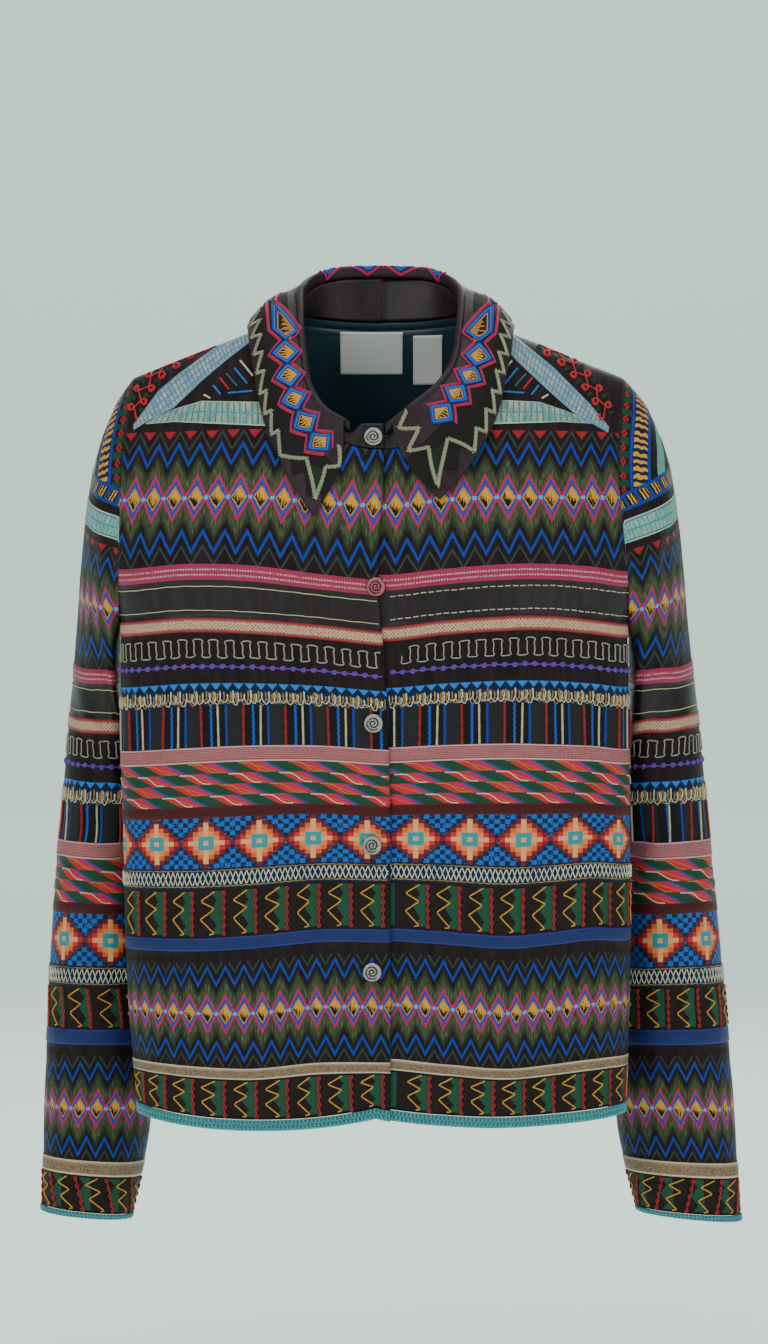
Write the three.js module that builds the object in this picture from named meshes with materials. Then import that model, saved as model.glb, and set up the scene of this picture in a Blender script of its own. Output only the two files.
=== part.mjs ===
// An embroidered satin jacket in its worn shape, with nobody inside.
// Millimetres. X runs across, with the wearer's right at -X. The front faces -Y. Z is up.
// The origin lies between the shoulders, level with the base of the collar.
import * as THREE from "three";

// Cloth and seams
const CLOTH = 1.8;
const SATIN = 1.0;
const LABEL = 0.7;
const BRAID = 2.6;
const SEAM_GAP = 0.3;
const AT_SEAM = 0.05;
const BRAID_HEIGHT = 9;
const LINING_GAP = 1.8;
const LABEL_GAP = 0.5;

// Heights of the main points
const UNDERARM_Z = -245;
const TIP_Z = -36;
const NECK_POINT_Z = 18;
const FRONT_NECK_Z = -102;
const BACK_NECK_Z = 14;
const HEM_Z = -656;

// Neck opening
const NECK_CENTRE_X = 4;
const NECK_HALF_WIDTH = 72;
const NAPE_RISE = 22;
const NECK_CURVE = 2.5;
const NECK_SPACING = 1.35;

// Shoulder seam and side seam, seen from the side
const SHOULDER_Y = 12;
const SIDE_Y = -25;

// How the shoulder rounds over into the front and the back
const FRONT_ROUND = { drop: 170, power: 2.2 };
const BACK_ROUND = { drop: 240, power: 1.5 };
const FRONT_POWER = 2.7;
const BACK_POWER = 1.8;
const ARMHOLE_SPREAD = 0.15;
const ARMHOLE_RISE = 120;
const ARMHOLE_EASE = 1.35;

// How the folds fade out towards the side seams and the shoulder
const FOLD_SIDE_FADE = 1.4;
const FOLD_TOP_FADE = 60;

// Reach of the body from the middle, a row for each level
const BODY_LEVELS = [
  { z: -665, right: 200, left: 210, front: 82, back: 128 },
  { z: -565, right: 209, left: 214, front: 80, back: 130 },
  { z: -455, right: 212.5, left: 214.5, front: 79, back: 132 },
  { z: -361, right: 215, left: 214, front: 81, back: 136 },
  { z: -217, right: 215, left: 211, front: 86, back: 140 },
  { z: -110, right: 213, left: 203, front: 85, back: 140 },
  { z: -36, right: 206, left: 210, front: 84, back: 138 },
];

// The front edge that laps over, a row for each level
const LAP_LEVELS = [
  { z: -665, x: 12 },
  { z: -420, x: 12 },
  { z: -320, x: 10 },
  { z: -265, x: 6 },
  { z: -205, x: 2 },
  { z: -102, x: 7 },
];
const UNDERLAP_X = -20;
const LAP_STEP = 3.7;
const LAP_EASE = 26;

// How far the hem dips between the side seam and the front edge
const HEM_DIP = { right: 11, left: 8, back: 4 };
const HEM_DIP_POWER = 0.8;

// Sleeve sections from the armhole to the cuff, given by the outer and inner edges of each
const SLEEVE_RIGHT = [
  { outX: 206, outZ: -36, inX: 214, inZ: -245, midY: -6, half: 60 },
  { outX: 222, outZ: -60, inX: 217, inZ: -262, midY: 3, half: 63 },
  { outX: 239, outZ: -106, inX: 218, inZ: -292, midY: 14, half: 65 },
  { outX: 248, outZ: -156, inX: 215, inZ: -326, midY: 28, half: 64 },
  { outX: 257, outZ: -236, inX: 208, inZ: -374, midY: 44, half: 62 },
  { outX: 264, outZ: -321, inX: 202, inZ: -434, midY: 54, half: 60 },
  { outX: 271, outZ: -402, inX: 198, inZ: -494, midY: 60, half: 58 },
  { outX: 278, outZ: -483, inX: 196, inZ: -555, midY: 62, half: 56 },
  { outX: 283, outZ: -569, inX: 195, inZ: -617, midY: 61, half: 53 },
  { outX: 286, outZ: -655, inX: 195, inZ: -680, midY: 57, half: 49 },
  { outX: 287, outZ: -748, inX: 211, inZ: -755, midY: 50, half: 45 },
];
const SLEEVE_LEFT = [
  { outX: 210, outZ: -36, inX: 211, inZ: -245, midY: -6, half: 60 },
  { outX: 230, outZ: -60, inX: 214, inZ: -262, midY: 3, half: 63 },
  { outX: 249, outZ: -106, inX: 216, inZ: -292, midY: 14, half: 65 },
  { outX: 258, outZ: -156, inX: 214, inZ: -326, midY: 28, half: 64 },
  { outX: 268, outZ: -236, inX: 210, inZ: -374, midY: 42, half: 62 },
  { outX: 277, outZ: -321, inX: 208, inZ: -434, midY: 50, half: 60 },
  { outX: 285, outZ: -402, inX: 207, inZ: -494, midY: 55, half: 58 },
  { outX: 293, outZ: -483, inX: 206, inZ: -555, midY: 57, half: 56 },
  { outX: 301, outZ: -569, inX: 206, inZ: -617, midY: 56, half: 53 },
  { outX: 308, outZ: -655, inX: 208, inZ: -680, midY: 52, half: 49 },
  { outX: 313, outZ: -757, inX: 225, inZ: -748, midY: 46, half: 45 },
];
const SLEEVE_POWER = 2.2;
const ARMHOLE_BLEND = 0.22;
const SLEEVE_SIDES = 24;
const SLEEVE_ROWS = 17;
const SLEEVE_LENGTH = 930;

// Collar stations from the nape to the front corner, on each side.
// The ridge is the fold line. The edge is the free edge of the fall, which ends at the point.
const COLLAR_RIGHT = [
  { ridgeX: 34, ridgeY: 52, ridgeZ: 58, edgeX: 50, edgeY: 66, edgeZ: -7 },
  { ridgeX: 54, ridgeY: 38, ridgeZ: 51, edgeX: 88, edgeY: 46, edgeZ: -1 },
  { ridgeX: 64, ridgeY: 14, ridgeZ: 39, edgeX: 108, edgeY: 14, edgeZ: 10 },
  { ridgeX: 64, ridgeY: -10, ridgeZ: 22, edgeX: 108, edgeY: -24, edgeZ: -2 },
  { ridgeX: 63, ridgeY: -32, ridgeZ: 2, edgeX: 103, edgeY: -52, edgeZ: -32 },
  { ridgeX: 60, ridgeY: -54, ridgeZ: -22, edgeX: 95, edgeY: -77, edgeZ: -72 },
  { ridgeX: 55, ridgeY: -74, ridgeZ: -48, edgeX: 82, edgeY: -95, edgeZ: -106 },
  { ridgeX: 43, ridgeY: -89, ridgeZ: -68, edgeX: 67, edgeY: -105, edgeZ: -134 },
  { ridgeX: 24, ridgeY: -95, ridgeZ: -80, edgeX: 52, edgeY: -110, edgeZ: -158 },
];
const COLLAR_LEFT = [
  { ridgeX: 42, ridgeY: 52, ridgeZ: 58, edgeX: 58, edgeY: 66, edgeZ: -7 },
  { ridgeX: 62, ridgeY: 38, ridgeZ: 51, edgeX: 96, edgeY: 46, edgeZ: -1 },
  { ridgeX: 72, ridgeY: 14, ridgeZ: 39, edgeX: 116, edgeY: 14, edgeZ: 10 },
  { ridgeX: 72, ridgeY: -10, ridgeZ: 22, edgeX: 116, edgeY: -24, edgeZ: -2 },
  { ridgeX: 70, ridgeY: -32, ridgeZ: 2, edgeX: 111, edgeY: -52, edgeZ: -32 },
  { ridgeX: 65, ridgeY: -56, ridgeZ: -26, edgeX: 102, edgeY: -77, edgeZ: -70 },
  { ridgeX: 52, ridgeY: -76, ridgeZ: -47, edgeX: 88, edgeY: -95, edgeZ: -100 },
  { ridgeX: 30, ridgeY: -90, ridgeZ: -66, edgeX: 71, edgeY: -104, edgeZ: -124 },
  { ridgeX: 11, ridgeY: -96, ridgeZ: -82, edgeX: 53, edgeY: -108, edgeZ: -144 },
];
const NAPE = { ridgeX: 4, ridgeY: 57, ridgeZ: 60, edgeX: 4, edgeY: 73, edgeZ: -9 };

// Where the front corners of the fall meet the neck seam, from the nape (0) to the middle (1)
const CORNER_PLACE = { right: 0.87, left: 0.98 };
const FALL_COLUMNS = 32;
const FALL_CLEAR = 3.6;
const RIDGE_RADIUS = 3.2;
const FALL_BOW = 7;
const CORNER_SWELL = 11;
const CORNER_START = 0.8;
const CORNER_BOW_LOSS = 0.6;
const FALL_LIES_FROM = 0.3;

// Soft folds in the body cloth. Depth is outwards, and a negative depth is a trough.
const BODY_FOLDS = [
  { panel: "front", x: -150, z: -560, halfWidth: 26, halfLength: 120, depth: 5, lean: 0.08 },
  { panel: "front", x: -95, z: -600, halfWidth: 24, halfLength: 110, depth: -4, lean: -0.05 },
  { panel: "front", x: -165, z: -270, halfWidth: 22, halfLength: 95, depth: -4, lean: 0.35 },
  { panel: "front", x: 100, z: -585, halfWidth: 30, halfLength: 130, depth: 5, lean: 0.04 },
  { panel: "front", x: 155, z: -610, halfWidth: 24, halfLength: 90, depth: -4, lean: 0.1 },
  { panel: "front", x: 160, z: -280, halfWidth: 22, halfLength: 90, depth: -4, lean: -0.32 },
  { panel: "back", x: -60, z: -540, halfWidth: 30, halfLength: 150, depth: 5, lean: 0.05 },
  { panel: "back", x: 30, z: -590, halfWidth: 28, halfLength: 110, depth: -5, lean: -0.04 },
  { panel: "back", x: 95, z: -520, halfWidth: 32, halfLength: 160, depth: 5, lean: -0.06 },
];

// Soft folds in the sleeves, placed along the sleeve (0 at the armhole) and round it in degrees.
// Zero degrees is the outer edge, 90 the front, 180 the inner edge and 270 the back.
const SLEEVE_FOLDS = [
  { along: 0.42, round: 60, halfAlong: 0.05, halfRound: 80, depth: -4 },
  { along: 0.52, round: 120, halfAlong: 0.045, halfRound: 70, depth: -4 },
  { along: 0.6, round: 250, halfAlong: 0.06, halfRound: 80, depth: -4 },
  { along: 0.86, round: 80, halfAlong: 0.05, halfRound: 60, depth: -3 },
];

// Metal buttons down the middle, a row for each from the top
const BUTTONS = [
  { x: -2, z: -92 },
  { x: 0, z: -216 },
  { x: -2, z: -329 },
  { x: -3, z: -430 },
  { x: -3, z: -535 },
];
const BUTTON_PROFILE = [
  [0, 0],
  [6.5, 0],
  [8, 1.6],
  [7.2, 2.9],
  [6, 2.4],
  [0, 3.1],
];
const BUTTON_SIDES = 14;
const BUTTON_CLEAR = 0.5;

// Labels inside the neck, seen from the front
const NECK_LABEL = { left: -31, right: 23, top: 6, bottom: -29 };
const CARE_LABEL = { left: 32, right: 57, top: 3, bottom: -38 };

// Columns across the panels and rows up them
const NECK_COLUMNS = { front: 8, back: 4 };
const FRONT_SHOULDER_COLUMNS = 5;
const BACK_SHOULDER_COLUMNS = 6;
const ROWS_BELOW = 10;
// Columns stand closer towards the side seams, the more so the higher these are
const FRONT_COLUMN_EASE = 1.6;
const BACK_COLUMN_EASE = 1.5;
const ROWS_ABOVE = SLEEVE_SIDES / 2;

const lerp = (a, b, t) => a + (b - a) * t;
const clamp01 = (t) => Math.min(1, Math.max(0, t));
const smooth = (t) => clamp01(t) ** 2 * (3 - 2 * clamp01(t));
const superArc = (t, power) => Math.max(0, 1 - Math.abs(t) ** power) ** (1 / power);

// Reads a table at a level, on a smooth curve through its rows
function readTable(rows, key, place, column) {
  const last = rows.length - 1;
  const level = Math.min(Math.max(place, rows[0][key]), rows[last][key]);
  let i = 0;
  while (i < last - 1 && level > rows[i + 1][key]) i += 1;
  const t = (level - rows[i][key]) / (rows[i + 1][key] - rows[i][key]);
  return hermite(rows, i, t, column);
}

// Reads a table at a fraction of its whole length, with its rows evenly spread
function readStations(rows, fraction, column) {
  const place = clamp01(fraction) * (rows.length - 1);
  const i = Math.min(Math.floor(place), rows.length - 2);
  return hermite(rows, i, place - i, column);
}

function hermite(rows, i, t, column) {
  const a = rows[Math.max(i - 1, 0)][column];
  const b = rows[i][column];
  const c = rows[i + 1][column];
  const d = rows[Math.min(i + 2, rows.length - 1)][column];
  const into = (c - a) / 2;
  const out = (d - b) / 2;
  const t2 = t * t;
  const t3 = t2 * t;
  return (2 * t3 - 3 * t2 + 1) * b + (t3 - 2 * t2 + t) * into + (3 * t2 - 2 * t3) * c + (t3 - t2) * out;
}

// Half width of the body at a level, on the wearer's right (-1) or left (+1)
const bodyReach = (side, z) => readTable(BODY_LEVELS, "z", z, side < 0 ? "right" : "left");
const tipX = (side) => side * bodyReach(side, TIP_Z);
const neckPointX = (side) => NECK_CENTRE_X + side * NECK_HALF_WIDTH;

// Height of the shoulder ridge above a place across the body
function ridgeHeight(x) {
  const side = x < NECK_CENTRE_X ? -1 : 1;
  const out = Math.abs(x - NECK_CENTRE_X);
  if (out <= NECK_HALF_WIDTH) return NECK_POINT_Z + NAPE_RISE * (1 - (out / NECK_HALF_WIDTH) ** 2);
  const along = (x - neckPointX(side)) / (tipX(side) - neckPointX(side));
  return lerp(NECK_POINT_Z, TIP_Z, along);
}

// Depth of the trough or ridge that the folds make at a place on the body
function bodyFold(panel, x, z) {
  let sum = 0;
  for (const fold of BODY_FOLDS) {
    if (fold.panel !== panel) continue;
    const up = z - fold.z;
    const across = x - fold.x - up * fold.lean;
    const nearness = (across / fold.halfWidth) ** 2 + (up / fold.halfLength) ** 2;
    sum += fold.depth * Math.exp(-nearness);
  }
  return sum;
}

// The outer surface of the body cloth at a place seen from the front, on the front or back panel
function bodySurface(panel, x, z) {
  const side = x < 0 ? -1 : 1;
  const drop = Math.max(0, ridgeHeight(x) - z);
  const above = clamp01((z - UNDERARM_Z) / ARMHOLE_RISE);
  const spread = 1 + ARMHOLE_SPREAD * Math.sin((above * Math.PI) / 2) ** ARMHOLE_EASE;
  const across = Math.min(1, Math.abs(x) / (bodyReach(side, z) * spread));
  const middle = lerp(SHOULDER_Y, SIDE_Y, smooth(drop / (TIP_Z - UNDERARM_Z)));
  const isFront = panel === "front";
  const round = isFront ? FRONT_ROUND : BACK_ROUND;
  const fullness = superArc(1 - clamp01(drop / round.drop), round.power);
  const section = superArc(across, isFront ? FRONT_POWER : BACK_POWER);
  const reach = readTable(BODY_LEVELS, "z", z, isFront ? "front" : "back");
  const edgeFade = smooth(section * FOLD_SIDE_FADE) * smooth(drop / FOLD_TOP_FADE);
  const depth = reach * fullness * section + bodyFold(panel, x, z) * edgeFade + SEAM_GAP / 2;
  return new THREE.Vector3(x, middle + (isFront ? -depth : depth), z);
}

// A panel's top edge, from the front edge along the neckline and shoulder to the tip
function frontTop(side, lapX) {
  const top = [];
  top.push({ x: lapX, z: FRONT_NECK_Z });
  for (let i = 0; i < NECK_COLUMNS.front; i += 1) {
    top.push(necklinePoint(side, 1 - i / NECK_COLUMNS.front));
  }
  for (let i = 0; i <= FRONT_SHOULDER_COLUMNS; i += 1) {
    const x = lerp(neckPointX(side), tipX(side), i / FRONT_SHOULDER_COLUMNS);
    top.push({ x, z: ridgeHeight(x) });
  }
  return top;
}

// The neckline, from the neck point (0) to the middle of the front (1)
function necklinePoint(side, share) {
  const turn = (share ** NECK_SPACING * Math.PI) / 2;
  const out = Math.cos(turn) ** (2 / NECK_CURVE);
  const down = Math.sin(turn) ** (2 / NECK_CURVE);
  return {
    x: NECK_CENTRE_X + side * NECK_HALF_WIDTH * out,
    z: lerp(NECK_POINT_Z, FRONT_NECK_Z, down),
  };
}

// The neckline across the back, at a share of the way from the nape to the neck point
function napePoint(side, share) {
  return {
    x: NECK_CENTRE_X + side * NECK_HALF_WIDTH * share,
    z: NECK_POINT_Z - (NECK_POINT_Z - BACK_NECK_Z) * (1 - share ** 2),
  };
}

// The back panel's top edge, from tip to tip
function backTop() {
  const half = (side) => {
    const top = [];
    for (let i = 1; i <= NECK_COLUMNS.back; i += 1) top.push(napePoint(side, i / NECK_COLUMNS.back));
    for (let i = 1; i <= BACK_SHOULDER_COLUMNS; i += 1) {
      const x = lerp(neckPointX(side), tipX(side), i / BACK_SHOULDER_COLUMNS);
      top.push({ x, z: ridgeHeight(x) });
    }
    return top;
  };
  return [...half(-1).reverse(), napePoint(1, 0), ...half(1)];
}

// The heights of a column's rows, dense by the underarm and the shoulder so that a sleeve fits them
function columnHeights(bottomZ, topZ) {
  const heights = [];
  for (let i = 0; i < ROWS_BELOW; i += 1) heights.push(lerp(bottomZ, UNDERARM_Z, i / ROWS_BELOW));
  for (let i = 0; i <= ROWS_ABOVE; i += 1) {
    const rise = (1 - Math.cos((i * Math.PI) / ROWS_ABOVE)) / 2;
    heights.push(lerp(UNDERARM_Z, topZ, rise));
  }
  return heights;
}

// How far a column has moved from its even place at the hem to its place at the top
const columnShift = (z, topZ) => smooth((z - UNDERARM_Z) / (topZ - UNDERARM_Z));

function hemHeight(side, x, z, dip) {
  const along = clamp01(Math.abs(x) / bodyReach(side, z));
  return HEM_Z - dip * Math.sin(along * Math.PI) ** HEM_DIP_POWER;
}

const lapEdge = (side, z) => (side < 0 ? readTable(LAP_LEVELS, "z", z, "x") : UNDERLAP_X);

// One front: a grid of points, rows from the hem up, columns from the front edge to the side
function frontGrid(side, cutAbove = 0, rowsOf = columnHeights) {
  const top = frontTop(side, lapEdge(side, FRONT_NECK_Z));
  const last = top.length - 1;
  const dip = side < 0 ? HEM_DIP.right : HEM_DIP.left;
  const columns = top.map((end, c) => {
    const even = 1 - (1 - c / last) ** FRONT_COLUMN_EASE;
    const spanTop = side * bodyReach(side, end.z) - lapEdge(side, end.z);
    const share = (end.x - lapEdge(side, end.z)) / spanTop;
    const hemX = lerp(lapEdge(side, HEM_Z), side * bodyReach(side, HEM_Z), even);
    const bottomZ = hemHeight(side, hemX, HEM_Z, dip) + cutAbove;
    return rowsOf(bottomZ, end.z).map((z) => {
      const across = lerp(even, share, columnShift(z, end.z));
      const x = lerp(lapEdge(side, z), side * bodyReach(side, z), across);
      const point = bodySurface("front", x, z);
      if (side > 0) point.y += LAP_STEP * smooth((lapEdge(-1, z) + LAP_EASE - x) / LAP_EASE);
      return point;
    });
  });
  return flip(columns);
}

// The back: rows from the hem up, columns from the wearer's right to the left
function backGrid(cutAbove = 0, rowsOf = columnHeights) {
  const tops = backTop();
  const columns = tops.map((end, c) => {
    const place = (2 * c) / (tops.length - 1) - 1;
    const side = place < 0 ? -1 : 1;
    const even = side * (1 - (1 - Math.abs(place)) ** BACK_COLUMN_EASE);
    const share = (side * end.x) / bodyReach(side, end.z);
    const hemX = even * bodyReach(side, HEM_Z);
    const bottomZ = hemHeight(side, hemX, HEM_Z, HEM_DIP.back) + cutAbove;
    return rowsOf(bottomZ, end.z).map((z) => {
      const across = lerp(even, side * share, columnShift(z, end.z));
      return bodySurface("back", across * bodyReach(side, z), z);
    });
  });
  return flip(columns);
}

const flip = (columns) => columns[0].map((_, row) => columns.map((column) => column[row]));

// Smoothed surface directions of a grid, pointing away from the body's inside
function gridNormals(grid, closed) {
  const rows = grid.length;
  const count = grid[0].length;
  const along = new THREE.Vector3();
  const up = new THREE.Vector3();
  return grid.map((row, r) =>
    row.map((_, c) => {
      const next = closed ? (c + 1) % count : Math.min(c + 1, count - 1);
      const before = closed ? (c + count - 1) % count : Math.max(c - 1, 0);
      along.subVectors(row[next], row[before]);
      up.subVectors(grid[Math.min(r + 1, rows - 1)][c], grid[Math.max(r - 1, 0)][c]);
      return new THREE.Vector3().crossVectors(along, up).normalize();
    })
  );
}

// At a seam a wall's thickness stays in the plane of the seam, so that neighbours meet edge to edge
function settleAtSeam(normal, point) {
  const side = point.x < 0 ? -1 : 1;
  const atSide = Math.abs(point.x) > bodyReach(side, point.z) - AT_SEAM;
  const atShoulder = ridgeHeight(point.x) - point.z < AT_SEAM;
  if (atShoulder || (atSide && point.z < UNDERARM_Z + AT_SEAM)) normal.y = 0;
  if (atSide && point.z > UNDERARM_Z + AT_SEAM) normal.x = 0;
  return normal.normalize();
}

// The direction straight out of the body's surface
function bodyNormal(panel, point) {
  const side = point.x < 0 ? -1 : 1;
  const step = 0.5;
  const { y } = bodySurface(panel, point.x, point.z);
  const slopeX = (y - bodySurface(panel, point.x - side * step, point.z).y) / (side * step);
  const slopeZ = (y - bodySurface(panel, point.x, point.z - step).y) / step;
  const outward = panel === "front" ? -1 : 1;
  return new THREE.Vector3(-slopeX, 1, -slopeZ).multiplyScalar(outward).normalize();
}

// Moves a panel's points straight out of the body, or into it
function movedPanel(panel, grid, distance) {
  const shift = (point) => {
    const normal = settleAtSeam(bodyNormal(panel, point), point);
    return point.clone().addScaledVector(normal, distance);
  };
  return grid.map((row) => row.map(shift));
}

// Moves a grid along its surface directions
function moved(grid, distance, closed = false, settle = (normal) => normal) {
  const normals = gridNormals(grid, closed);
  const shift = (point, normal) => point.clone().addScaledVector(settle(normal, point), distance);
  return grid.map((row, r) => row.map((point, c) => shift(point, normals[r][c])));
}

// A cloth wall between an outer and an inner grid, closed along its free edges
function clothWall(outer, inner, closed = false) {
  const rows = outer.length;
  const count = outer[0].length;
  const positions = [];
  for (const grid of [outer, inner]) for (const row of grid) for (const p of row) positions.push(p.x, p.y, p.z);
  const at = (layer, r, c) => (layer * rows + r) * count + (c % count);
  const faces = [];
  const quad = (a, b, c, d) => faces.push(a, b, c, a, c, d);
  const spans = closed ? count : count - 1;
  for (let r = 0; r < rows - 1; r += 1) {
    for (let c = 0; c < spans; c += 1) {
      quad(at(0, r, c), at(0, r, c + 1), at(0, r + 1, c + 1), at(0, r + 1, c));
      quad(at(1, r, c), at(1, r + 1, c), at(1, r + 1, c + 1), at(1, r, c + 1));
    }
  }
  for (let c = 0; c < spans; c += 1) {
    quad(at(0, 0, c), at(1, 0, c), at(1, 0, c + 1), at(0, 0, c + 1));
    quad(at(0, rows - 1, c), at(0, rows - 1, c + 1), at(1, rows - 1, c + 1), at(1, rows - 1, c));
  }
  for (let r = 0; r < rows - 1 && !closed; r += 1) {
    quad(at(0, r, 0), at(0, r + 1, 0), at(1, r + 1, 0), at(1, r, 0));
    const end = count - 1;
    quad(at(0, r, end), at(1, r, end), at(1, r + 1, end), at(0, r + 1, end));
  }
  const geometry = new THREE.BufferGeometry();
  geometry.setAttribute("position", new THREE.Float32BufferAttribute(positions, 3));
  geometry.setIndex(faces);
  geometry.computeVertexNormals();
  return geometry;
}

// Turns a grid whose columns run the other way, so that its surface directions point outwards
const reversed = (grid) => grid.map((row) => [...row].reverse());

const braidRows = (bottomZ) => [bottomZ, bottomZ + BRAID_HEIGHT / 2, bottomZ + BRAID_HEIGHT];

const panelWall = (panel, grid) => clothWall(grid, movedPanel(panel, grid, -CLOTH));

function braidWall(panel, grid) {
  const proud = (BRAID - CLOTH) / 2;
  return clothWall(movedPanel(panel, grid, proud), movedPanel(panel, grid, proud - BRAID));
}

// The armhole's edge, on the front or back panel, for an angle round the sleeve
function armholePoint(side, angle) {
  const z = lerp(UNDERARM_Z, TIP_Z, (1 + Math.cos(angle)) / 2);
  const x = side * bodyReach(side, z);
  const point = bodySurface(Math.sin(angle) >= 0 ? "front" : "back", x, z);
  point.x += side * SEAM_GAP;
  return point;
}

function sleeveFold(along, degrees) {
  let sum = 0;
  for (const fold of SLEEVE_FOLDS) {
    const turn = Math.abs(((degrees - fold.round + 540) % 360) - 180);
    sum += fold.depth * Math.exp(-(((along - fold.along) / fold.halfAlong) ** 2) - (turn / fold.halfRound) ** 2);
  }
  return sum;
}

// A section of the sleeve, as it would be without the armhole
function sleeveSection(side, along, angle) {
  const table = side < 0 ? SLEEVE_RIGHT : SLEEVE_LEFT;
  const read = (column) => readStations(table, along, column);
  const turnOut = Math.sign(Math.cos(angle)) * Math.abs(Math.cos(angle)) ** (2 / SLEEVE_POWER);
  const turnFront = Math.sign(Math.sin(angle)) * Math.abs(Math.sin(angle)) ** (2 / SLEEVE_POWER);
  const fold = sleeveFold(along, (angle * 180) / Math.PI);
  const grow = 1 + fold / read("half");
  const share = (1 + turnOut * grow) / 2;
  return new THREE.Vector3(
    side * lerp(read("inX"), read("outX"), share),
    read("midY") - read("half") * turnFront * grow,
    lerp(read("inZ"), read("outZ"), share)
  );
}

function sleevePoint(side, along, angle) {
  const section = sleeveSection(side, along, angle);
  const pull = 1 - smooth(along / ARMHOLE_BLEND);
  const seam = armholePoint(side, angle).sub(sleeveSection(side, 0, angle));
  return section.addScaledVector(seam, pull);
}

// A sleeve's grid between two places along it
function sleeveGrid(side, from, to, rows) {
  const grid = [];
  for (let r = 0; r <= rows; r += 1) {
    const along = lerp(from, to, r / rows);
    const ring = [];
    for (let c = 0; c < SLEEVE_SIDES; c += 1) ring.push(sleevePoint(side, along, (2 * Math.PI * c) / SLEEVE_SIDES));
    grid.push(ring);
  }
  return side < 0 ? reversed(grid) : grid;
}

// The share of a sleeve's length that its cuff braid takes
const CUFF_SHARE = BRAID_HEIGHT / SLEEVE_LENGTH;
const CUFF_GAP_SHARE = SEAM_GAP / SLEEVE_LENGTH;

// The sleeve's first edge stays in the plane of the armhole
function settleAtArmhole(normal, point) {
  const side = point.x < 0 ? -1 : 1;
  const inPlane = Math.abs(point.x) < bodyReach(side, point.z) + SEAM_GAP + AT_SEAM;
  if (inPlane && point.z > UNDERARM_Z - AT_SEAM) normal.x = 0;
  return normal.normalize();
}

const sleeveWall = (side) => {
  const grid = sleeveGrid(side, 0, 1 - CUFF_SHARE - CUFF_GAP_SHARE, SLEEVE_ROWS);
  return clothWall(grid, moved(grid, -CLOTH, true, settleAtArmhole), true);
};

const cuffWall = (side) => {
  const grid = sleeveGrid(side, 1 - CUFF_SHARE, 1, 1);
  const proud = (BRAID - CLOTH) / 2;
  return clothWall(moved(grid, proud, true), moved(grid, proud - BRAID, true), true);
};

// A place round the collar: -1 is the right front corner, 0 the nape, 1 the left front corner
function collarStation(place) {
  const rows = [NAPE, ...(place < 0 ? COLLAR_RIGHT : COLLAR_LEFT)];
  const side = place < 0 ? -1 : 1;
  const read = (column) => readStations(rows, Math.abs(place), column);
  const across = (column) => {
    const nape = NAPE[column];
    const out = readStations([{ x: side * nape }, ...rows.slice(1).map((row) => ({ x: row[column] }))], Math.abs(place), "x");
    return side * out;
  };
  return {
    ridge: new THREE.Vector3(across("ridgeX"), read("ridgeY"), read("ridgeZ")),
    edge: new THREE.Vector3(across("edgeX"), read("edgeY"), read("edgeZ")),
  };
}

// The neckline's outer edge, at the panels' own columns round the neck
function neckSeam(place) {
  const side = place < 0 ? -1 : 1;
  const shoulderPlace = NECK_COLUMNS.back / (NECK_COLUMNS.back + NECK_COLUMNS.front);
  const out = Math.abs(place);
  if (out < shoulderPlace) {
    const { x, z } = napePoint(side, out / shoulderPlace);
    return bodySurface("back", x, z);
  }
  const { x, z } = necklinePoint(side, (out - shoulderPlace) / (1 - shoulderPlace));
  return bodySurface("front", x, z);
}

const STAND_ROWS = 3;
const STAND_END_COLUMNS = 4;
const STAND_TOP_DROP = 8;
const STAND_INSET = 2.4;
const STAND_RISE_START = 0.01;
const STAND_RISE_SPAN = 0.05;
const STAND_CLEAR = 1.1;

// The stand's top edge lies just inside the fold, and runs level to the middle past the fall's corner
function standTop(place) {
  const corner = place < 0 ? CORNER_PLACE.right : CORNER_PLACE.left;
  const { ridge } = collarStation(Math.max(-1, Math.min(1, place / corner)));
  const past = clamp01((Math.abs(place) - corner) / (1 - corner));
  ridge.x = lerp(ridge.x, NECK_CENTRE_X, past);
  const beyond = (Math.abs(place) - corner - STAND_RISE_START) / STAND_RISE_SPAN;
  ridge.z -= STAND_TOP_DROP * (1 - smooth(beyond));
  const inward = new THREE.Vector3(NECK_CENTRE_X - ridge.x, -ridge.y, 0).normalize();
  return ridge.addScaledVector(inward, STAND_INSET);
}

// The stand rises from the neckline, and its right end laps over the left
function standGrid() {
  const half = NECK_COLUMNS.back + NECK_COLUMNS.front;
  const columns = [];
  for (let i = -half; i <= half; i += 1) {
    const seam = neckSeam(i / half);
    const inward = new THREE.Vector3(NECK_CENTRE_X - seam.x, -seam.y, 0).normalize();
    seam.addScaledVector(inward, STAND_CLEAR);
    seam.z += STAND_CLEAR;
    const top = standTop(i / half);
    const under = i > 0 ? LAP_STEP * smooth((LAP_EASE + NECK_CENTRE_X - seam.x) / LAP_EASE) : 0;
    const column = [];
    for (let r = 0; r <= STAND_ROWS; r += 1) {
      const point = seam.clone().lerp(top, r / STAND_ROWS);
      point.y += under;
      column.push(point);
    }
    columns.push(column);
  }
  const straightEnd = (column, x) => column.map((point) => new THREE.Vector3(x, point.y, point.z));
  columns.unshift(straightEnd(columns[0], lapEdge(-1, FRONT_NECK_Z)));
  columns.push(straightEnd(columns[columns.length - 1], UNDERLAP_X));
  return flip(columns);
}

const FALL_ROWS = 5;
const RIDGE_ROWS = 3;
const LIP_GAP = 1.6;

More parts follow.
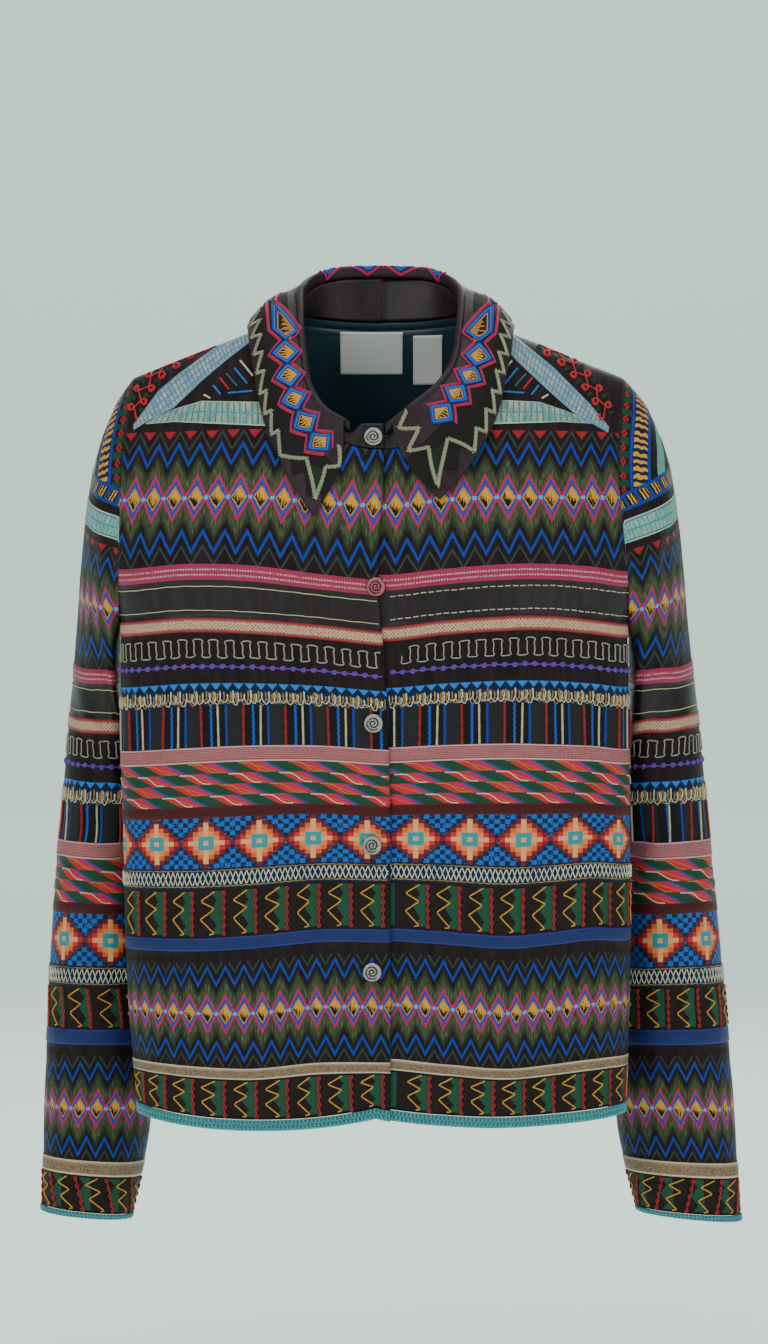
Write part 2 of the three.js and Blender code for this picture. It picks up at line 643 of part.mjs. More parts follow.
// Keeps a point of the fall clear of the body cloth below it
function clearOfBody(point) {
  if (point.z > ridgeHeight(point.x)) return point;
  const panel = point.y < SHOULDER_Y ? "front" : "back";
  const step = 2;
  const y = bodySurface(panel, point.x, point.z).y;
  const slopeX = (bodySurface(panel, point.x + step, point.z).y - y) / step;
  const slopeZ = (bodySurface(panel, point.x, point.z - step).y - y) / step;
  const reach = FALL_CLEAR * Math.hypot(1, slopeX, slopeZ);
  point.y = panel === "front" ? Math.min(point.y, y - reach) : Math.max(point.y, y + reach);
  return point;
}

// The fall rolls over the fold line and lies down over the shoulders
function fallGrid() {
  const columns = [];
  for (let i = 0; i <= FALL_COLUMNS; i += 1) {
    const place = (2 * i) / FALL_COLUMNS - 1;
    const side = place < 0 ? -1 : 1;
    const { ridge, edge } = collarStation(place);
    const outward = new THREE.Vector3(edge.x - ridge.x, edge.y - ridge.y, 0).normalize();
    const sideways = new THREE.Vector3(-outward.y, outward.x, 0);
    const bowWay = new THREE.Vector3().subVectors(edge, ridge).cross(sideways).normalize();
    if (bowWay.dot(outward) < 0) bowWay.negate();
    const corner = smooth((Math.abs(place) - CORNER_START) / (1 - CORNER_START));
    const start = ridge.clone().addScaledVector(outward, RIDGE_RADIUS);
    const column = [];
    for (let r = 0; r <= FALL_ROWS; r += 1) {
      const share = 1 - r / FALL_ROWS;
      const point = start.clone().lerp(edge, share);
      const bulge = Math.sin(share * Math.PI);
      point.addScaledVector(bowWay, FALL_BOW * bulge * (1 - corner * CORNER_BOW_LOSS));
      point.x -= side * CORNER_SWELL * bulge * corner;
      column.push(share > FALL_LIES_FROM ? clearOfBody(point) : point);
    }
    for (let r = 1; r <= RIDGE_ROWS; r += 1) {
      const turn = (r / RIDGE_ROWS) * Math.PI;
      const point = ridge.clone().addScaledVector(outward, RIDGE_RADIUS * Math.cos(turn));
      point.z += RIDGE_RADIUS * Math.sin(turn);
      column.push(point);
    }
    const lip = column[column.length - 1].clone();
    lip.z -= STAND_TOP_DROP - LIP_GAP;
    column.push(lip);
    columns.push(column);
  }
  return flip(columns);
}

// Where a grid's surface lies, front to back, at a place seen from the front
function depthOnGrid(grid, x, z) {
  const triangle = new THREE.Triangle();
  const spot = new THREE.Vector3(x, 0, z);
  const share = new THREE.Vector3();
  for (let r = 0; r < grid.length - 1; r += 1) {
    for (let c = 0; c < grid[r].length - 1; c += 1) {
      const [a, b, d, e] = [grid[r][c], grid[r][c + 1], grid[r + 1][c + 1], grid[r + 1][c]];
      for (const corners of [[a, b, d], [a, d, e]]) {
        const flat = corners.map((p) => new THREE.Vector3(p.x, 0, p.z));
        triangle.set(...flat);
        triangle.getBarycoord(spot, share);
        if (Math.min(share.x, share.y, share.z) < 0) continue;
        return corners[0].y * share.x + corners[1].y * share.y + corners[2].y * share.z;
      }
    }
  }
  throw new Error("a label lies off its lining");
}

// A label's grid of points, lying on the inside of the lining
function labelGrid(frame, lining) {
  const columns = 4;
  const rows = 3;
  const grid = [];
  for (let r = 0; r <= rows; r += 1) {
    const z = lerp(frame.bottom, frame.top, r / rows);
    const row = [];
    for (let c = 0; c <= columns; c += 1) {
      const x = lerp(frame.left, frame.right, c / columns);
      row.push(new THREE.Vector3(x, depthOnGrid(lining, x, z) - LABEL_GAP, z));
    }
    grid.push(row);
  }
  return reversed(grid);
}

function material(color, roughness, metalness = 0) {
  return new THREE.MeshStandardMaterial({ color, roughness, metalness });
}

const jacket = new THREE.Group();

function addPiece(name, geometry, look) {
  const mesh = new THREE.Mesh(geometry, look);
  mesh.name = name;
  jacket.add(mesh);
  return mesh;
}

// Fronts and back
const frontRight = reversed(frontGrid(-1, BRAID_HEIGHT + SEAM_GAP));
const frontLeft = frontGrid(1, BRAID_HEIGHT + SEAM_GAP);
const back = reversed(backGrid(BRAID_HEIGHT + SEAM_GAP));
addPiece("front_right", panelWall("front", frontRight), material(0x241a1e, 0.55));
addPiece("front_left", panelWall("front", frontLeft), material(0x241a1e, 0.55));
addPiece("back", panelWall("back", back), material(0x241a1e, 0.55));

// Hem braid
addPiece("hem_braid_front_right", braidWall("front", reversed(frontGrid(-1, 0, braidRows))), material(0x2f8f95, 0.7));
addPiece("hem_braid_front_left", braidWall("front", frontGrid(1, 0, braidRows)), material(0x2f8f95, 0.7));
addPiece("hem_braid_back", braidWall("back", reversed(backGrid(0, braidRows))), material(0x2f8f95, 0.7));

// Back lining, kept clear of the seams, with half as many rows and columns as the back
const everySecond = (list) => list.filter((_, i) => i % 2 === 1);
const liningOuter = everySecond(movedPanel("back", back, -(CLOTH + LINING_GAP))).map(everySecond);
const liningInner = moved(liningOuter, -SATIN);
addPiece("back_lining", clothWall(liningOuter, liningInner), material(0x12202a, 0.4));

// Labels, sewn on the lining
for (const [name, frame] of [["neck_label", NECK_LABEL], ["care_label", CARE_LABEL]]) {
  const surface = labelGrid(frame, liningInner);
  const face = surface.map((row) => row.map((p) => new THREE.Vector3(p.x, p.y - LABEL, p.z)));
  addPiece(name, clothWall(surface, face), material(0xeeeeea, 0.8));
}

// Sleeves and cuff braid
for (const [name, side] of [["right", -1], ["left", 1]]) {
  addPiece(`sleeve_${name}`, sleeveWall(side), material(0x241a1e, 0.55));
  addPiece(`cuff_braid_${name}`, cuffWall(side), material(0x2f8f95, 0.7));
}

// Collar
const stand = reversed(standGrid());
addPiece("collar_stand", clothWall(stand, moved(stand, -SATIN)), material(0x2a1f22, 0.4));
const fall = reversed(fallGrid());
const standRightEnd = stand.map((row) => row.slice(-STAND_END_COLUMNS));
addPiece("collar_fall", clothWall(fall, moved(fall, -CLOTH)), material(0x2a1f22, 0.5));

// Buttons, each turned to face straight out of the cloth below it. The top one is on the stand.
BUTTONS.forEach((place, i) => {
  const outline = BUTTON_PROFILE.map(([radius, height]) => new THREE.Vector2(radius, height));
  const button = addPiece(`button_${i + 1}`, new THREE.LatheGeometry(outline, BUTTON_SIDES), material(0x9a9790, 0.4, 0.8));
  const cloth = i === 0 ? standRightEnd : frontRight;
  const y = depthOnGrid(cloth, place.x, place.z);
  const slopeX = depthOnGrid(cloth, place.x + 1, place.z) - y;
  const slopeZ = depthOnGrid(cloth, place.x, place.z + 1) - y;
  const outward = new THREE.Vector3(slopeX, -1, slopeZ).normalize();
  button.quaternion.setFromUnitVectors(new THREE.Vector3(0, 1, 0), outward);
  button.position.set(place.x, y, place.z).addScaledVector(outward, BUTTON_CLEAR);
});

export default jacket;
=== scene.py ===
# %% [markdown]
# # An embroidered satin jacket
#
# The jacket is hip length, with a shirt collar, long sleeves and five metal buttons. It is cut from dark plum
# satin, and bands of embroidery, ribbon and braid run round it. It keeps the shape of a wearer, with nobody
# inside. Each cell below makes one thing. Tables are in millimetres, and meshes are written in metres.

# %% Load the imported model
import math

import bmesh
import bpy
import numpy as np
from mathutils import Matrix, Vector


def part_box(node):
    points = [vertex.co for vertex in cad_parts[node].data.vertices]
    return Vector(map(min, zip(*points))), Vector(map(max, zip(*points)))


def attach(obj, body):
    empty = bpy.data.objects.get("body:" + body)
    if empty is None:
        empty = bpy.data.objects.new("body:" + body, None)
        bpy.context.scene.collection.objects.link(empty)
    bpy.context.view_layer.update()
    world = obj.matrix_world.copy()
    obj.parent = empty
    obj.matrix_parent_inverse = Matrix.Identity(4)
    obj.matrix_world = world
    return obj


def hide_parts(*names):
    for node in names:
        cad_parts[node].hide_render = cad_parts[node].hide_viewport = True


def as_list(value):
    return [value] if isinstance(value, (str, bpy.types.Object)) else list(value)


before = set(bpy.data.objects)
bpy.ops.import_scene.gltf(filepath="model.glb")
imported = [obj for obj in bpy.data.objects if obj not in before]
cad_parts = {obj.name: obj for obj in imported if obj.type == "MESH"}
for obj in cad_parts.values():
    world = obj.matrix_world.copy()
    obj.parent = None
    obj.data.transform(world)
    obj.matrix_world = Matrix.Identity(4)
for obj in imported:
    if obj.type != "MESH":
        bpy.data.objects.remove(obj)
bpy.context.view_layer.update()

MM = 0.001

# %% [markdown]
# ## Where the jacket is seen from
#
# The picture was taken straight on from a few metres away, so the lens is long and the camera is level. The
# camera stands four metres off, and its lens follows from how much it has to take in there.

# %% Camera
VIEW_DISTANCE = 4.0
VIEW_HEIGHT = 1.1424
camera_data = bpy.data.cameras.new("camera")
camera_data.sensor_width = 36
camera_data.lens = camera_data.sensor_width * VIEW_DISTANCE / VIEW_HEIGHT
camera = bpy.data.objects.new("camera", camera_data)
camera.location = (0.0068, -VIEW_DISTANCE, -0.2865)
camera.rotation_euler = (math.pi / 2, 0, 0)
bpy.context.collection.objects.link(camera)
bpy.context.scene.camera = camera
print("lens", round(camera_data.lens, 1), "mm")

# %% [markdown]
# ## The studio
#
# A pale floor runs up into a pale wall through a wide bend, as a paper backdrop does, so no hard line stands
# behind the jacket. One big soft light stands on each side of the camera and one hangs above, because satin
# shows the shape of its lights and small ones would leave hard sparks.

# %% Floor and wall
FLOOR_Z = -0.9
WALL_Y = 15.0


def paint(name, colour, roughness=0.8):
    """A plain material, used for what isn't part of the jacket."""
    material = bpy.data.materials.new(name)
    material.use_nodes = True
    shader = material.node_tree.nodes["Principled BSDF"]
    shader.inputs["Base Color"].default_value = (*colour, 1)
    shader.inputs["Roughness"].default_value = roughness
    return material


def piece_from(bm, name, *materials):
    """Turns a bmesh into an object at the origin."""
    mesh = bpy.data.meshes.new(name)
    bm.to_mesh(mesh)
    bm.free()
    for material in materials:
        mesh.materials.append(material)
    made = bpy.data.objects.new(name, mesh)
    bpy.context.collection.objects.link(made)
    return made


bm = bmesh.new()
bmesh.ops.create_grid(bm, x_segments=1, y_segments=1, size=26)
bmesh.ops.translate(bm, verts=bm.verts, vec=(0, WALL_Y - 26, FLOOR_Z))
back_edge = [e for e in bm.edges if all(v.co.y > WALL_Y - 0.01 for v in e.verts)]
raised = bmesh.ops.extrude_edge_only(bm, edges=back_edge)
wall_top = [v for v in raised["geom"] if isinstance(v, bmesh.types.BMVert)]
bmesh.ops.translate(bm, verts=wall_top, vec=(0, 0, 12))
bend = [e for e in bm.edges if all(abs(v.co.y - WALL_Y) < 0.01 and v.co.z < FLOOR_Z + 0.01 for v in e.verts)]
bmesh.ops.bevel(bm, geom=bend, offset=3.0, segments=16, profile=0.5, affect="EDGES", material=-1)
for face in bm.faces:
    face.smooth = True
studio_pale = paint("studio_pale", (0.62, 0.77, 0.7))
glow = studio_pale.node_tree.nodes["Principled BSDF"].inputs
glow["Emission Color"].default_value = (0.62, 0.77, 0.7, 1)
glow["Emission Strength"].default_value = 0.85
floor = piece_from(bm, "studio_floor", studio_pale)
print("floor at", FLOOR_Z)

# %% Lights
LIGHTS = [
    ("key_light", (-1.9, -2.9, 1.3), 2.2, 58),
    ("fill_light", (2.2, -2.6, 0.7), 2.4, 36),
    ("top_light", (0.1, -0.4, 2.3), 2.0, 34),
    ("back_light", (0.5, 3.2, 2.0), 2.2, 60),
]
LIGHT_TARGET = Vector((0, 0, -0.35))
for name, place, size, power in LIGHTS:
    light = bpy.data.lights.new(name, "AREA")
    light.size = size
    light.energy = power
    lamp = bpy.data.objects.new(name, light)
    lamp.location = place
    lamp.rotation_euler = (LIGHT_TARGET - Vector(place)).to_track_quat("-Z", "Y").to_euler()
    bpy.context.collection.objects.link(lamp)
world = bpy.data.worlds.new("studio_air")
world.use_nodes = True
world.node_tree.nodes["Background"].inputs["Color"].default_value = (0.78, 0.84, 0.82, 1)
world.node_tree.nodes["Background"].inputs["Strength"].default_value = 0.3
bpy.context.scene.world = world
print(len(LIGHTS), "lights")

# %% [markdown]
# ## The shape of the body
#
# A worn jacket is a soft tube that rounds over the shoulders. It could be sculpted, but the bands of ribbon
# have to run level round it, so its surface is worked out instead: a few levels give how far the cloth reaches
# to each side, to the front and to the back, and rounded arcs join them. The same surface then carries the
# cloth, the ribbons and every thread.

# %% Reading the tables
def read_rows(levels, values, place):
    """Reads a column of a table on a smooth curve through its rows."""
    levels = np.asarray(levels, float)
    values = np.asarray(values, float)
    place = np.clip(place, levels[0], levels[-1])
    i = np.clip(np.searchsorted(levels, place, side="right") - 1, 0, len(levels) - 2)
    t = (place - levels[i]) / (levels[i + 1] - levels[i])
    before = values[np.maximum(i - 1, 0)]
    low = values[i]
    high = values[i + 1]
    after = values[np.minimum(i + 2, len(levels) - 1)]
    into = (high - before) / 2
    out = (after - low) / 2
    low_share = 2 * t**3 - 3 * t**2 + 1
    return low_share * low + (t**3 - 2 * t**2 + t) * into + (1 - low_share) * high + (t**3 - t**2) * out


def smooth(t):
    t = np.clip(t, 0, 1)
    return t * t * (3 - 2 * t)


def arc(t, power):
    return np.maximum(0, 1 - np.abs(t) ** power) ** (1 / power)


def blend(a, b, share):
    return a + (b - a) * share


# %% Sizes of the body
UNDERARM_Z = -245
TIP_Z = -36
NECK_POINT_Z = 18
FRONT_NECK_Z = -102
BACK_NECK_Z = 14
HEM_Z = -656
NECK_CENTRE_X = 4
NECK_HALF_WIDTH = 72
BRAID_HEIGHT = 9
SEAM_GAP = 0.3
CLOTH = 1.8
LAP_STEP = 3.7
LAP_EASE = 26
UNDERLAP_X = -20
HEM_DIP = {"right": 11, "left": 8, "back": 4}

# Reach of the body from the middle: z, right, left, front, back
BODY_LEVELS = np.array([
    (-665, 200, 210, 82, 128),
    (-565, 209, 214, 80, 130),
    (-455, 212.5, 214.5, 79, 132),
    (-361, 215, 214, 81, 136),
    (-217, 215, 211, 86, 140),
    (-110, 213, 203, 85, 140),
    (-36, 206, 210, 84, 138),
])
BODY_COLUMN = {"right": 1, "left": 2, "front": 3, "back": 4}

# The front edge that laps over: z, x
LAP_LEVELS = np.array([(-665, 12), (-420, 12), (-320, 10), (-265, 6), (-205, 2), (-102, 7)])

# Folds of the body cloth: panel, x, z, half width, half length, depth outwards, lean
BODY_FOLDS = [
    ("front", -150, -560, 26, 120, 5, 0.08),
    ("front", -95, -600, 24, 110, -4, -0.05),
    ("front", -165, -270, 22, 95, -4, 0.35),
    ("front", 100, -585, 30, 130, 5, 0.04),
    ("front", 155, -610, 24, 90, -4, 0.1),
    ("front", 160, -280, 22, 90, -4, -0.32),
    ("back", -60, -540, 30, 150, 5, 0.05),
    ("back", 30, -590, 28, 110, -5, -0.04),
    ("back", 95, -520, 32, 160, 5, -0.06),
]

# Narrower creases, uneven on purpose
BODY_CREASES = [
    ("front", -187, -330, 9, 70, -2.2, 0.1),
    ("front", -176, -215, 8, 60, -2.4, 0.42),
    ("front", -160, -190, 9, 55, 1.6, 0.5),
    ("front", -118, -300, 12, 60, -1.5, -0.2),
    ("front", -70, -250, 10, 40, -1.4, -0.55),
    ("front", -52, -238, 8, 34, 1.3, -0.6),
    ("front", -36, -420, 9, 70, -1.5, 0.06),
    ("front", -64, -470, 10, 80, 1.5, 0.1),
    ("front", -128, -455, 11, 75, -1.8, 0.12),
    ("front", -172, -480, 9, 80, -2.2, 0.05),
    ("front", -182, -590, 8, 60, 2.0, 0.1),
    ("front", -120, -620, 9, 50, -2.0, -0.05),
    ("front", -38, -600, 10, 60, 1.8, 0.04),
    ("front", 42, -250, 9, 38, -1.3, 0.5),
    ("front", 76, -300, 11, 60, -1.6, 0.2),
    ("front", 128, -330, 10, 70, 1.6, -0.1),
    ("front", 178, -230, 9, 60, -2.4, -0.42),
    ("front", 186, -350, 9, 80, -2.0, -0.1),
    ("front", 150, -430, 12, 80, 1.9, -0.06),
    ("front", 52, -480, 10, 80, -1.6, 0.05),
    ("front", 182, -520, 9, 80, 1.9, -0.06),
    ("front", 66, -610, 9, 50, -2.1, 0.06),
    ("front", 128, -560, 9, 70, -1.8, 0.02),
    ("back", -150, -260, 12, 80, -2.2, 0.3),
    ("back", -172, -430, 10, 90, -2.2, 0.08),
    ("back", -110, -330, 12, 90, 1.9, 0.15),
    ("back", -20, -420, 11, 100, -1.8, 0.03),
    ("back", -105, -590, 12, 70, -2.4, 0.05),
    ("back", 60, -330, 12, 80, 1.8, -0.12),
    ("back", 148, -270, 12, 80, -2.2, -0.3),
    ("back", 160, -520, 11, 90, -2.4, -0.05),
    ("back", 5, -180, 12, 60, -1.6, 0.0),
]


def body_reach(side, z):
    column = BODY_COLUMN["right" if side < 0 else "left"]
    return read_rows(BODY_LEVELS[:, 0], BODY_LEVELS[:, column], z)


def lap_edge(z):
    return read_rows(LAP_LEVELS[:, 0], LAP_LEVELS[:, 1], z)


def ridge_height(x):
    """Height of the shoulder above a place across the body."""
    side = np.where(x < NECK_CENTRE_X, -1, 1)
    out = np.abs(x - NECK_CENTRE_X)
    nape = NECK_POINT_Z + 22 * (1 - (out / NECK_HALF_WIDTH) ** 2)
    tip = np.where(side < 0, -body_reach(-1, TIP_Z), body_reach(1, TIP_Z))
    neck = NECK_CENTRE_X + side * NECK_HALF_WIDTH
    shoulder = blend(NECK_POINT_Z, TIP_Z, (x - neck) / (tip - neck))
    return np.where(out <= NECK_HALF_WIDTH, nape, shoulder)


def fold_depth(folds, panel, x, z):
    total = np.zeros(np.broadcast(x, z).shape)
    for where, fold_x, fold_z, half_width, half_length, depth, lean in folds:
        if where == panel:
            up = z - fold_z
            across = x - fold_x - up * lean
            total = total + depth * np.exp(-((across / half_width) ** 2) - (up / half_length) ** 2)
    return total


def body_y(panel, x, z, creased=True):
    """How far back the body cloth lies, on the front or back panel, at a place seen from the front."""
    x, z = np.broadcast_arrays(np.asarray(x, float), np.asarray(z, float))
    drop = np.maximum(0, ridge_height(x) - z)
    above = np.clip((z - UNDERARM_Z) / 120, 0, 1)
    spread = 1 + 0.15 * np.sin(above * math.pi / 2) ** 1.35
    reach = np.where(x < 0, body_reach(-1, z), body_reach(1, z))
    across = np.minimum(1, np.abs(x) / (reach * spread))
    middle = blend(12, -25, smooth(drop / (TIP_Z - UNDERARM_Z)))
    front = panel == "front"
    fullness = arc(1 - np.clip(drop / (170 if front else 240), 0, 1), 2.2 if front else 1.5)
    section = arc(across, 2.7 if front else 1.8)
    depth = read_rows(BODY_LEVELS[:, 0], BODY_LEVELS[:, BODY_COLUMN[panel]], z) * fullness * section
    fade = smooth(section * 1.4) * smooth(drop / 60)
    folds = fold_depth(BODY_FOLDS, panel, x, z)
    if creased:
        folds = folds + fold_depth(BODY_CREASES, panel, x, z)
    depth = depth + folds * fade + SEAM_GAP / 2
    return middle - depth if front else middle + depth


print("chest", round(float(body_reach(-1, -217) + body_reach(1, -217))), "mm across")

# %% [markdown]
# ## A cloth that knows its own thread lines
#
# Ribbons and stitches are laid along the cloth, not along a straight line in space. So each panel keeps a
# chart: how far along the cloth a place lies, and which band height it is at. Asking the chart for a place
# gives a point on the cloth, lifted off it by as much as a ribbon or a thread is thick.

# %% Charts of the cloth
CHART_STEP = 1.5


class Chart:
    """Finds points on a piece of cloth from the length along it (u) and the band height (v)."""

    def __init__(self, surface, heights, first, second, along):
        self.surface = surface
        order = np.argsort(heights)
        self.heights = np.asarray(heights)[order]
        self.ends = along[order, -1]
        self.reach = float(self.ends.max())
        self.lengths = np.arange(0, self.reach + CHART_STEP, CHART_STEP)
        self.first = np.array([np.interp(self.lengths, along[i], first[i]) for i in order])
        self.second = np.array([np.interp(self.lengths, along[i], second[i]) for i in order])

    def read(self, table, u, v):
        row = np.interp(v, self.heights, np.arange(len(self.heights)))
        column = np.clip(u / CHART_STEP, 0, len(self.lengths) - 1.001)
        r = np.clip(np.floor(row).astype(int), 0, len(self.heights) - 2)
        c = np.floor(column).astype(int)
        down = row - r
        over = column - c
        low = blend(table[r, c], table[r, c + 1], over)
        high = blend(table[r + 1, c], table[r + 1, c + 1], over)
        return blend(low, high, down)

    def inside(self, u, v):
        return (u >= 0) & (u <= np.interp(v, self.heights, self.ends))

    def place(self, u, v, lift=0.0):
        """Points in millimetres, an array with three columns."""
        u, v = np.broadcast_arrays(np.asarray(u, float), np.asarray(v, float))
        return self.lifted(self.read(self.first, u, v), self.read(self.second, u, v), lift)

    def lifted(self, a, b, lift):
        points = self.surface(a, b)
        return points + self.outward(a, b) * np.asarray(lift, float)[..., None]

    def outward(self, a, b):
        step_a, step_b = self.surface.steps
        along = self.surface(a + step_a, b) - self.surface(a - step_a, b)
        up = self.surface(a, b + step_b) - self.surface(a, b - step_b)
        normal = np.cross(along, up) * self.surface.turn
        return normal / np.maximum(np.linalg.norm(normal, axis=-1, keepdims=True), 1e-9)


class BodySurface:
    """The outside of a body panel, found from x and z."""

    steps = (0.6, 0.6)

    def __init__(self, panel, under_lap=False):
        self.panel = panel
        self.under_lap = under_lap
        self.turn = 1 if panel == "front" else -1

    def __call__(self, x, z):
        y = body_y(self.panel, x, z)
        if self.under_lap:
            y = y + LAP_STEP * smooth((lap_edge(z) + LAP_EASE - x) / LAP_EASE)
        return np.stack(np.broadcast_arrays(x, y, z), axis=-1)


print("charts read every", CHART_STEP, "mm")

# %% [markdown]
# ## Drawing embroidery with arithmetic
#
# Every band is a pattern that repeats along the cloth. A picture could be wrapped round it, but a picture blurs
# when the camera comes near. So each pattern is worked out in the material from two lengths in millimetres:
# u along the cloth and v up the band. Stitched areas also get fine streaks along their stitches and stand a
# little proud, because that is what makes light catch on thread.

# %% Arithmetic inside a material
class Term:
    """A number in a material, so that patterns can be written as sums."""

    def __init__(self, tree, socket):
        self.tree = tree
        self.socket = socket

    def with_(self, operation, *others):
        node = self.tree.nodes.new("ShaderNodeMath")
        node.operation = operation
        for i, value in enumerate((self, *others)):
            if isinstance(value, Term):
                self.tree.links.new(value.socket, node.inputs[i])
            else:
                node.inputs[i].default_value = value
        return Term(self.tree, node.outputs[0])

    def __add__(self, other):
        return self.with_("ADD", other)

    def __sub__(self, other):
        return self.with_("SUBTRACT", other)

    def __mul__(self, other):
        return self.with_("MULTIPLY", other)

    def __truediv__(self, other):
        return self.with_("DIVIDE", other)

    def __neg__(self):
        return self * -1.0

    def size(self):
        return self.with_("ABSOLUTE")

    def part(self):
        return self.with_("FRACT")

    def whole(self):
        return self.with_("FLOOR")

    def wave(self):
        return self.with_("SINE")

    def least(self, other):
        return self.with_("MINIMUM", other)

    def most(self, other):
        return self.with_("MAXIMUM", other)

    def above(self, other):
        return self.with_("GREATER_THAN", other)

    def below(self, other):
        return self.with_("LESS_THAN", other)

    def between(self, low, high):
        return self.above(low) * self.below(high)

    def near(self, other, reach):
        """One within the reach of a value, and nought beyond it."""
        return (self - other).size().below(reach)

    def peak(self, period, shift=0.0):
        """A zigzag from nought to one that is one at the shift and at each period from it."""
        return ((((self - shift) / period).part() - 0.5).size()) * 2.0

    def offset(self, period, shift=0.0):
        """How far it is from the nearest of the marks that stand a period apart."""
        return (((self - shift) / period + 0.5).part() - 0.5) * period


class Finish:
    """A cloth material that is painted from the ground up."""

    def __init__(self, name, colour, roughness=0.6, sheen=0.0, metallic=0.0, gloss=0.14):
        self.material = bpy.data.materials.new(name)
        self.material.use_nodes = True
        self.tree = self.material.node_tree
        self.shader = self.tree.nodes["Principled BSDF"]
        self.shader.inputs["Sheen Weight"].default_value = sheen
        self.shader.inputs["Sheen Roughness"].default_value = 0.5
        self.shader.inputs["Metallic"].default_value = metallic
        self.shader.inputs["Specular IOR Level"].default_value = gloss
        place = self.tree.nodes.new("ShaderNodeUVMap")
        place.uv_map = "cloth"
        self.uv = place.outputs[0]
        split = self.tree.nodes.new("ShaderNodeSeparateXYZ")
        self.tree.links.new(self.uv, split.inputs[0])
        self.u = Term(self.tree, split.outputs[0]) * 1000.0
        self.v = Term(self.tree, split.outputs[1]) * 1000.0
        self.colour = self.solid(colour)
        self.roughness = self.number(roughness)
        self.height = self.number(0.0)

    def number(self, value):
        node = self.tree.nodes.new("ShaderNodeValue")
        node.outputs[0].default_value = value
        return Term(self.tree, node.outputs[0])

    def solid(self, colour):
        if not isinstance(colour, tuple):
            return colour
        node = self.tree.nodes.new("ShaderNodeRGB")
        node.outputs[0].default_value = (*colour, 1)
        return node.outputs[0]

    def mixed(self, first, second, share):
        """A colour part of the way from the first to the second."""
        node = self.tree.nodes.new("ShaderNodeMix")
        node.data_type = "RGBA"
        self.tree.links.new(share.socket, node.inputs[0])
        self.tree.links.new(self.solid(first), node.inputs[6])
        self.tree.links.new(self.solid(second), node.inputs[7])
        return node.outputs[2]

    def paint(self, mask, colour, height=None, roughness=None):
        """Lays a colour over what is there, where the mask is one."""
        self.colour = self.mixed(self.colour, colour, mask)
        if height is not None:
            self.height = self.height + (self.number(height) - self.height) * mask
        if roughness is not None:
            self.roughness = self.roughness + (self.number(roughness) - self.roughness) * mask

    def noise(self, along, up, detail=2.0, seed=0.0):
        """Uneven cloth: a noise that changes so many times in a millimetre along and up."""
        place = self.tree.nodes.new("ShaderNodeCombineXYZ")
        self.tree.links.new((self.u * along + seed).socket, place.inputs[0])
        self.tree.links.new((self.v * up).socket, place.inputs[1])
        node = self.tree.nodes.new("ShaderNodeTexNoise")
        node.inputs["Scale"].default_value = 1.0
        node.inputs["Detail"].default_value = detail
        self.tree.links.new(place.outputs[0], node.inputs["Vector"])
        return Term(self.tree, node.outputs[0])

    def shade(self, share, low=0.7, high=1.3):
        """Makes the colour lighter and darker by a noise."""
        node = self.tree.nodes.new("ShaderNodeHueSaturation")
        self.tree.links.new(self.colour, node.inputs["Color"])
        self.tree.links.new((share * (high - low) + low).socket, node.inputs["Value"])
        self.colour = node.outputs[0]

    def done(self, bump=0.6, reach=0.4):
        """Joins colour, roughness and height to the shader."""
        links = self.tree.links
        links.new(self.colour, self.shader.inputs["Base Color"])
        links.new(self.roughness.socket, self.shader.inputs["Roughness"])
        node = self.tree.nodes.new("ShaderNodeBump")
        node.inputs["Strength"].default_value = bump
        node.inputs["Distance"].default_value = reach * MM
        links.new(self.height.socket, node.inputs["Height"])
        links.new(node.outputs[0], self.shader.inputs["Normal"])
        return self.material


# %% [markdown]
# ## The thread colours
#
# The whole jacket is worked in one set of threads on a plum ground. Each colour is named once here, so a band
# on the sleeve and the same band on the front can't drift apart.

# %% Colours
PLUM = (0.0085, 0.0048, 0.006)
PLUM_LIGHT = (0.026, 0.0135, 0.0185)
BROWN = (0.0095, 0.0058, 0.0052)
BLACK = (0.006, 0.005, 0.006)
ROYAL = (0.008, 0.04, 0.27)
BRIGHT_BLUE = (0.012, 0.16, 0.56)
SKY = (0.1, 0.32, 0.55)
MAGENTA = (0.36, 0.018, 0.09)
SCARLET = (0.5, 0.02, 0.025)
RED = (0.3, 0.016, 0.02)
DARK_RED = (0.085, 0.01, 0.01)
ORANGE = (0.62, 0.1, 0.025)
PEACH = (0.72, 0.32, 0.14)
SAGE = (0.14, 0.16, 0.075)
SAGE_DARK = (0.025, 0.032, 0.018)
FOREST = (0.01, 0.05, 0.026)
FAINT_GREEN = (0.028, 0.045, 0.036)
GOLD = (0.62, 0.3, 0.035)
CREAM = (0.52, 0.44, 0.28)
GREY_CREAM = (0.32, 0.29, 0.24)
ROSE = (0.3, 0.028, 0.07)
PINK = (0.62, 0.33, 0.35)
DUSTY_PINK = (0.27, 0.07, 0.075)
BEIGE = (0.3, 0.2, 0.11)
NAVY = (0.006, 0.014, 0.04)
PURPLE = (0.12, 0.045, 0.36)
TEAL = (0.02, 0.24, 0.27)
SEAFOAM = (0.17, 0.32, 0.28)
PALE_BLUE = (0.36, 0.5, 0.47)
LINING = (0.006, 0.018, 0.026)


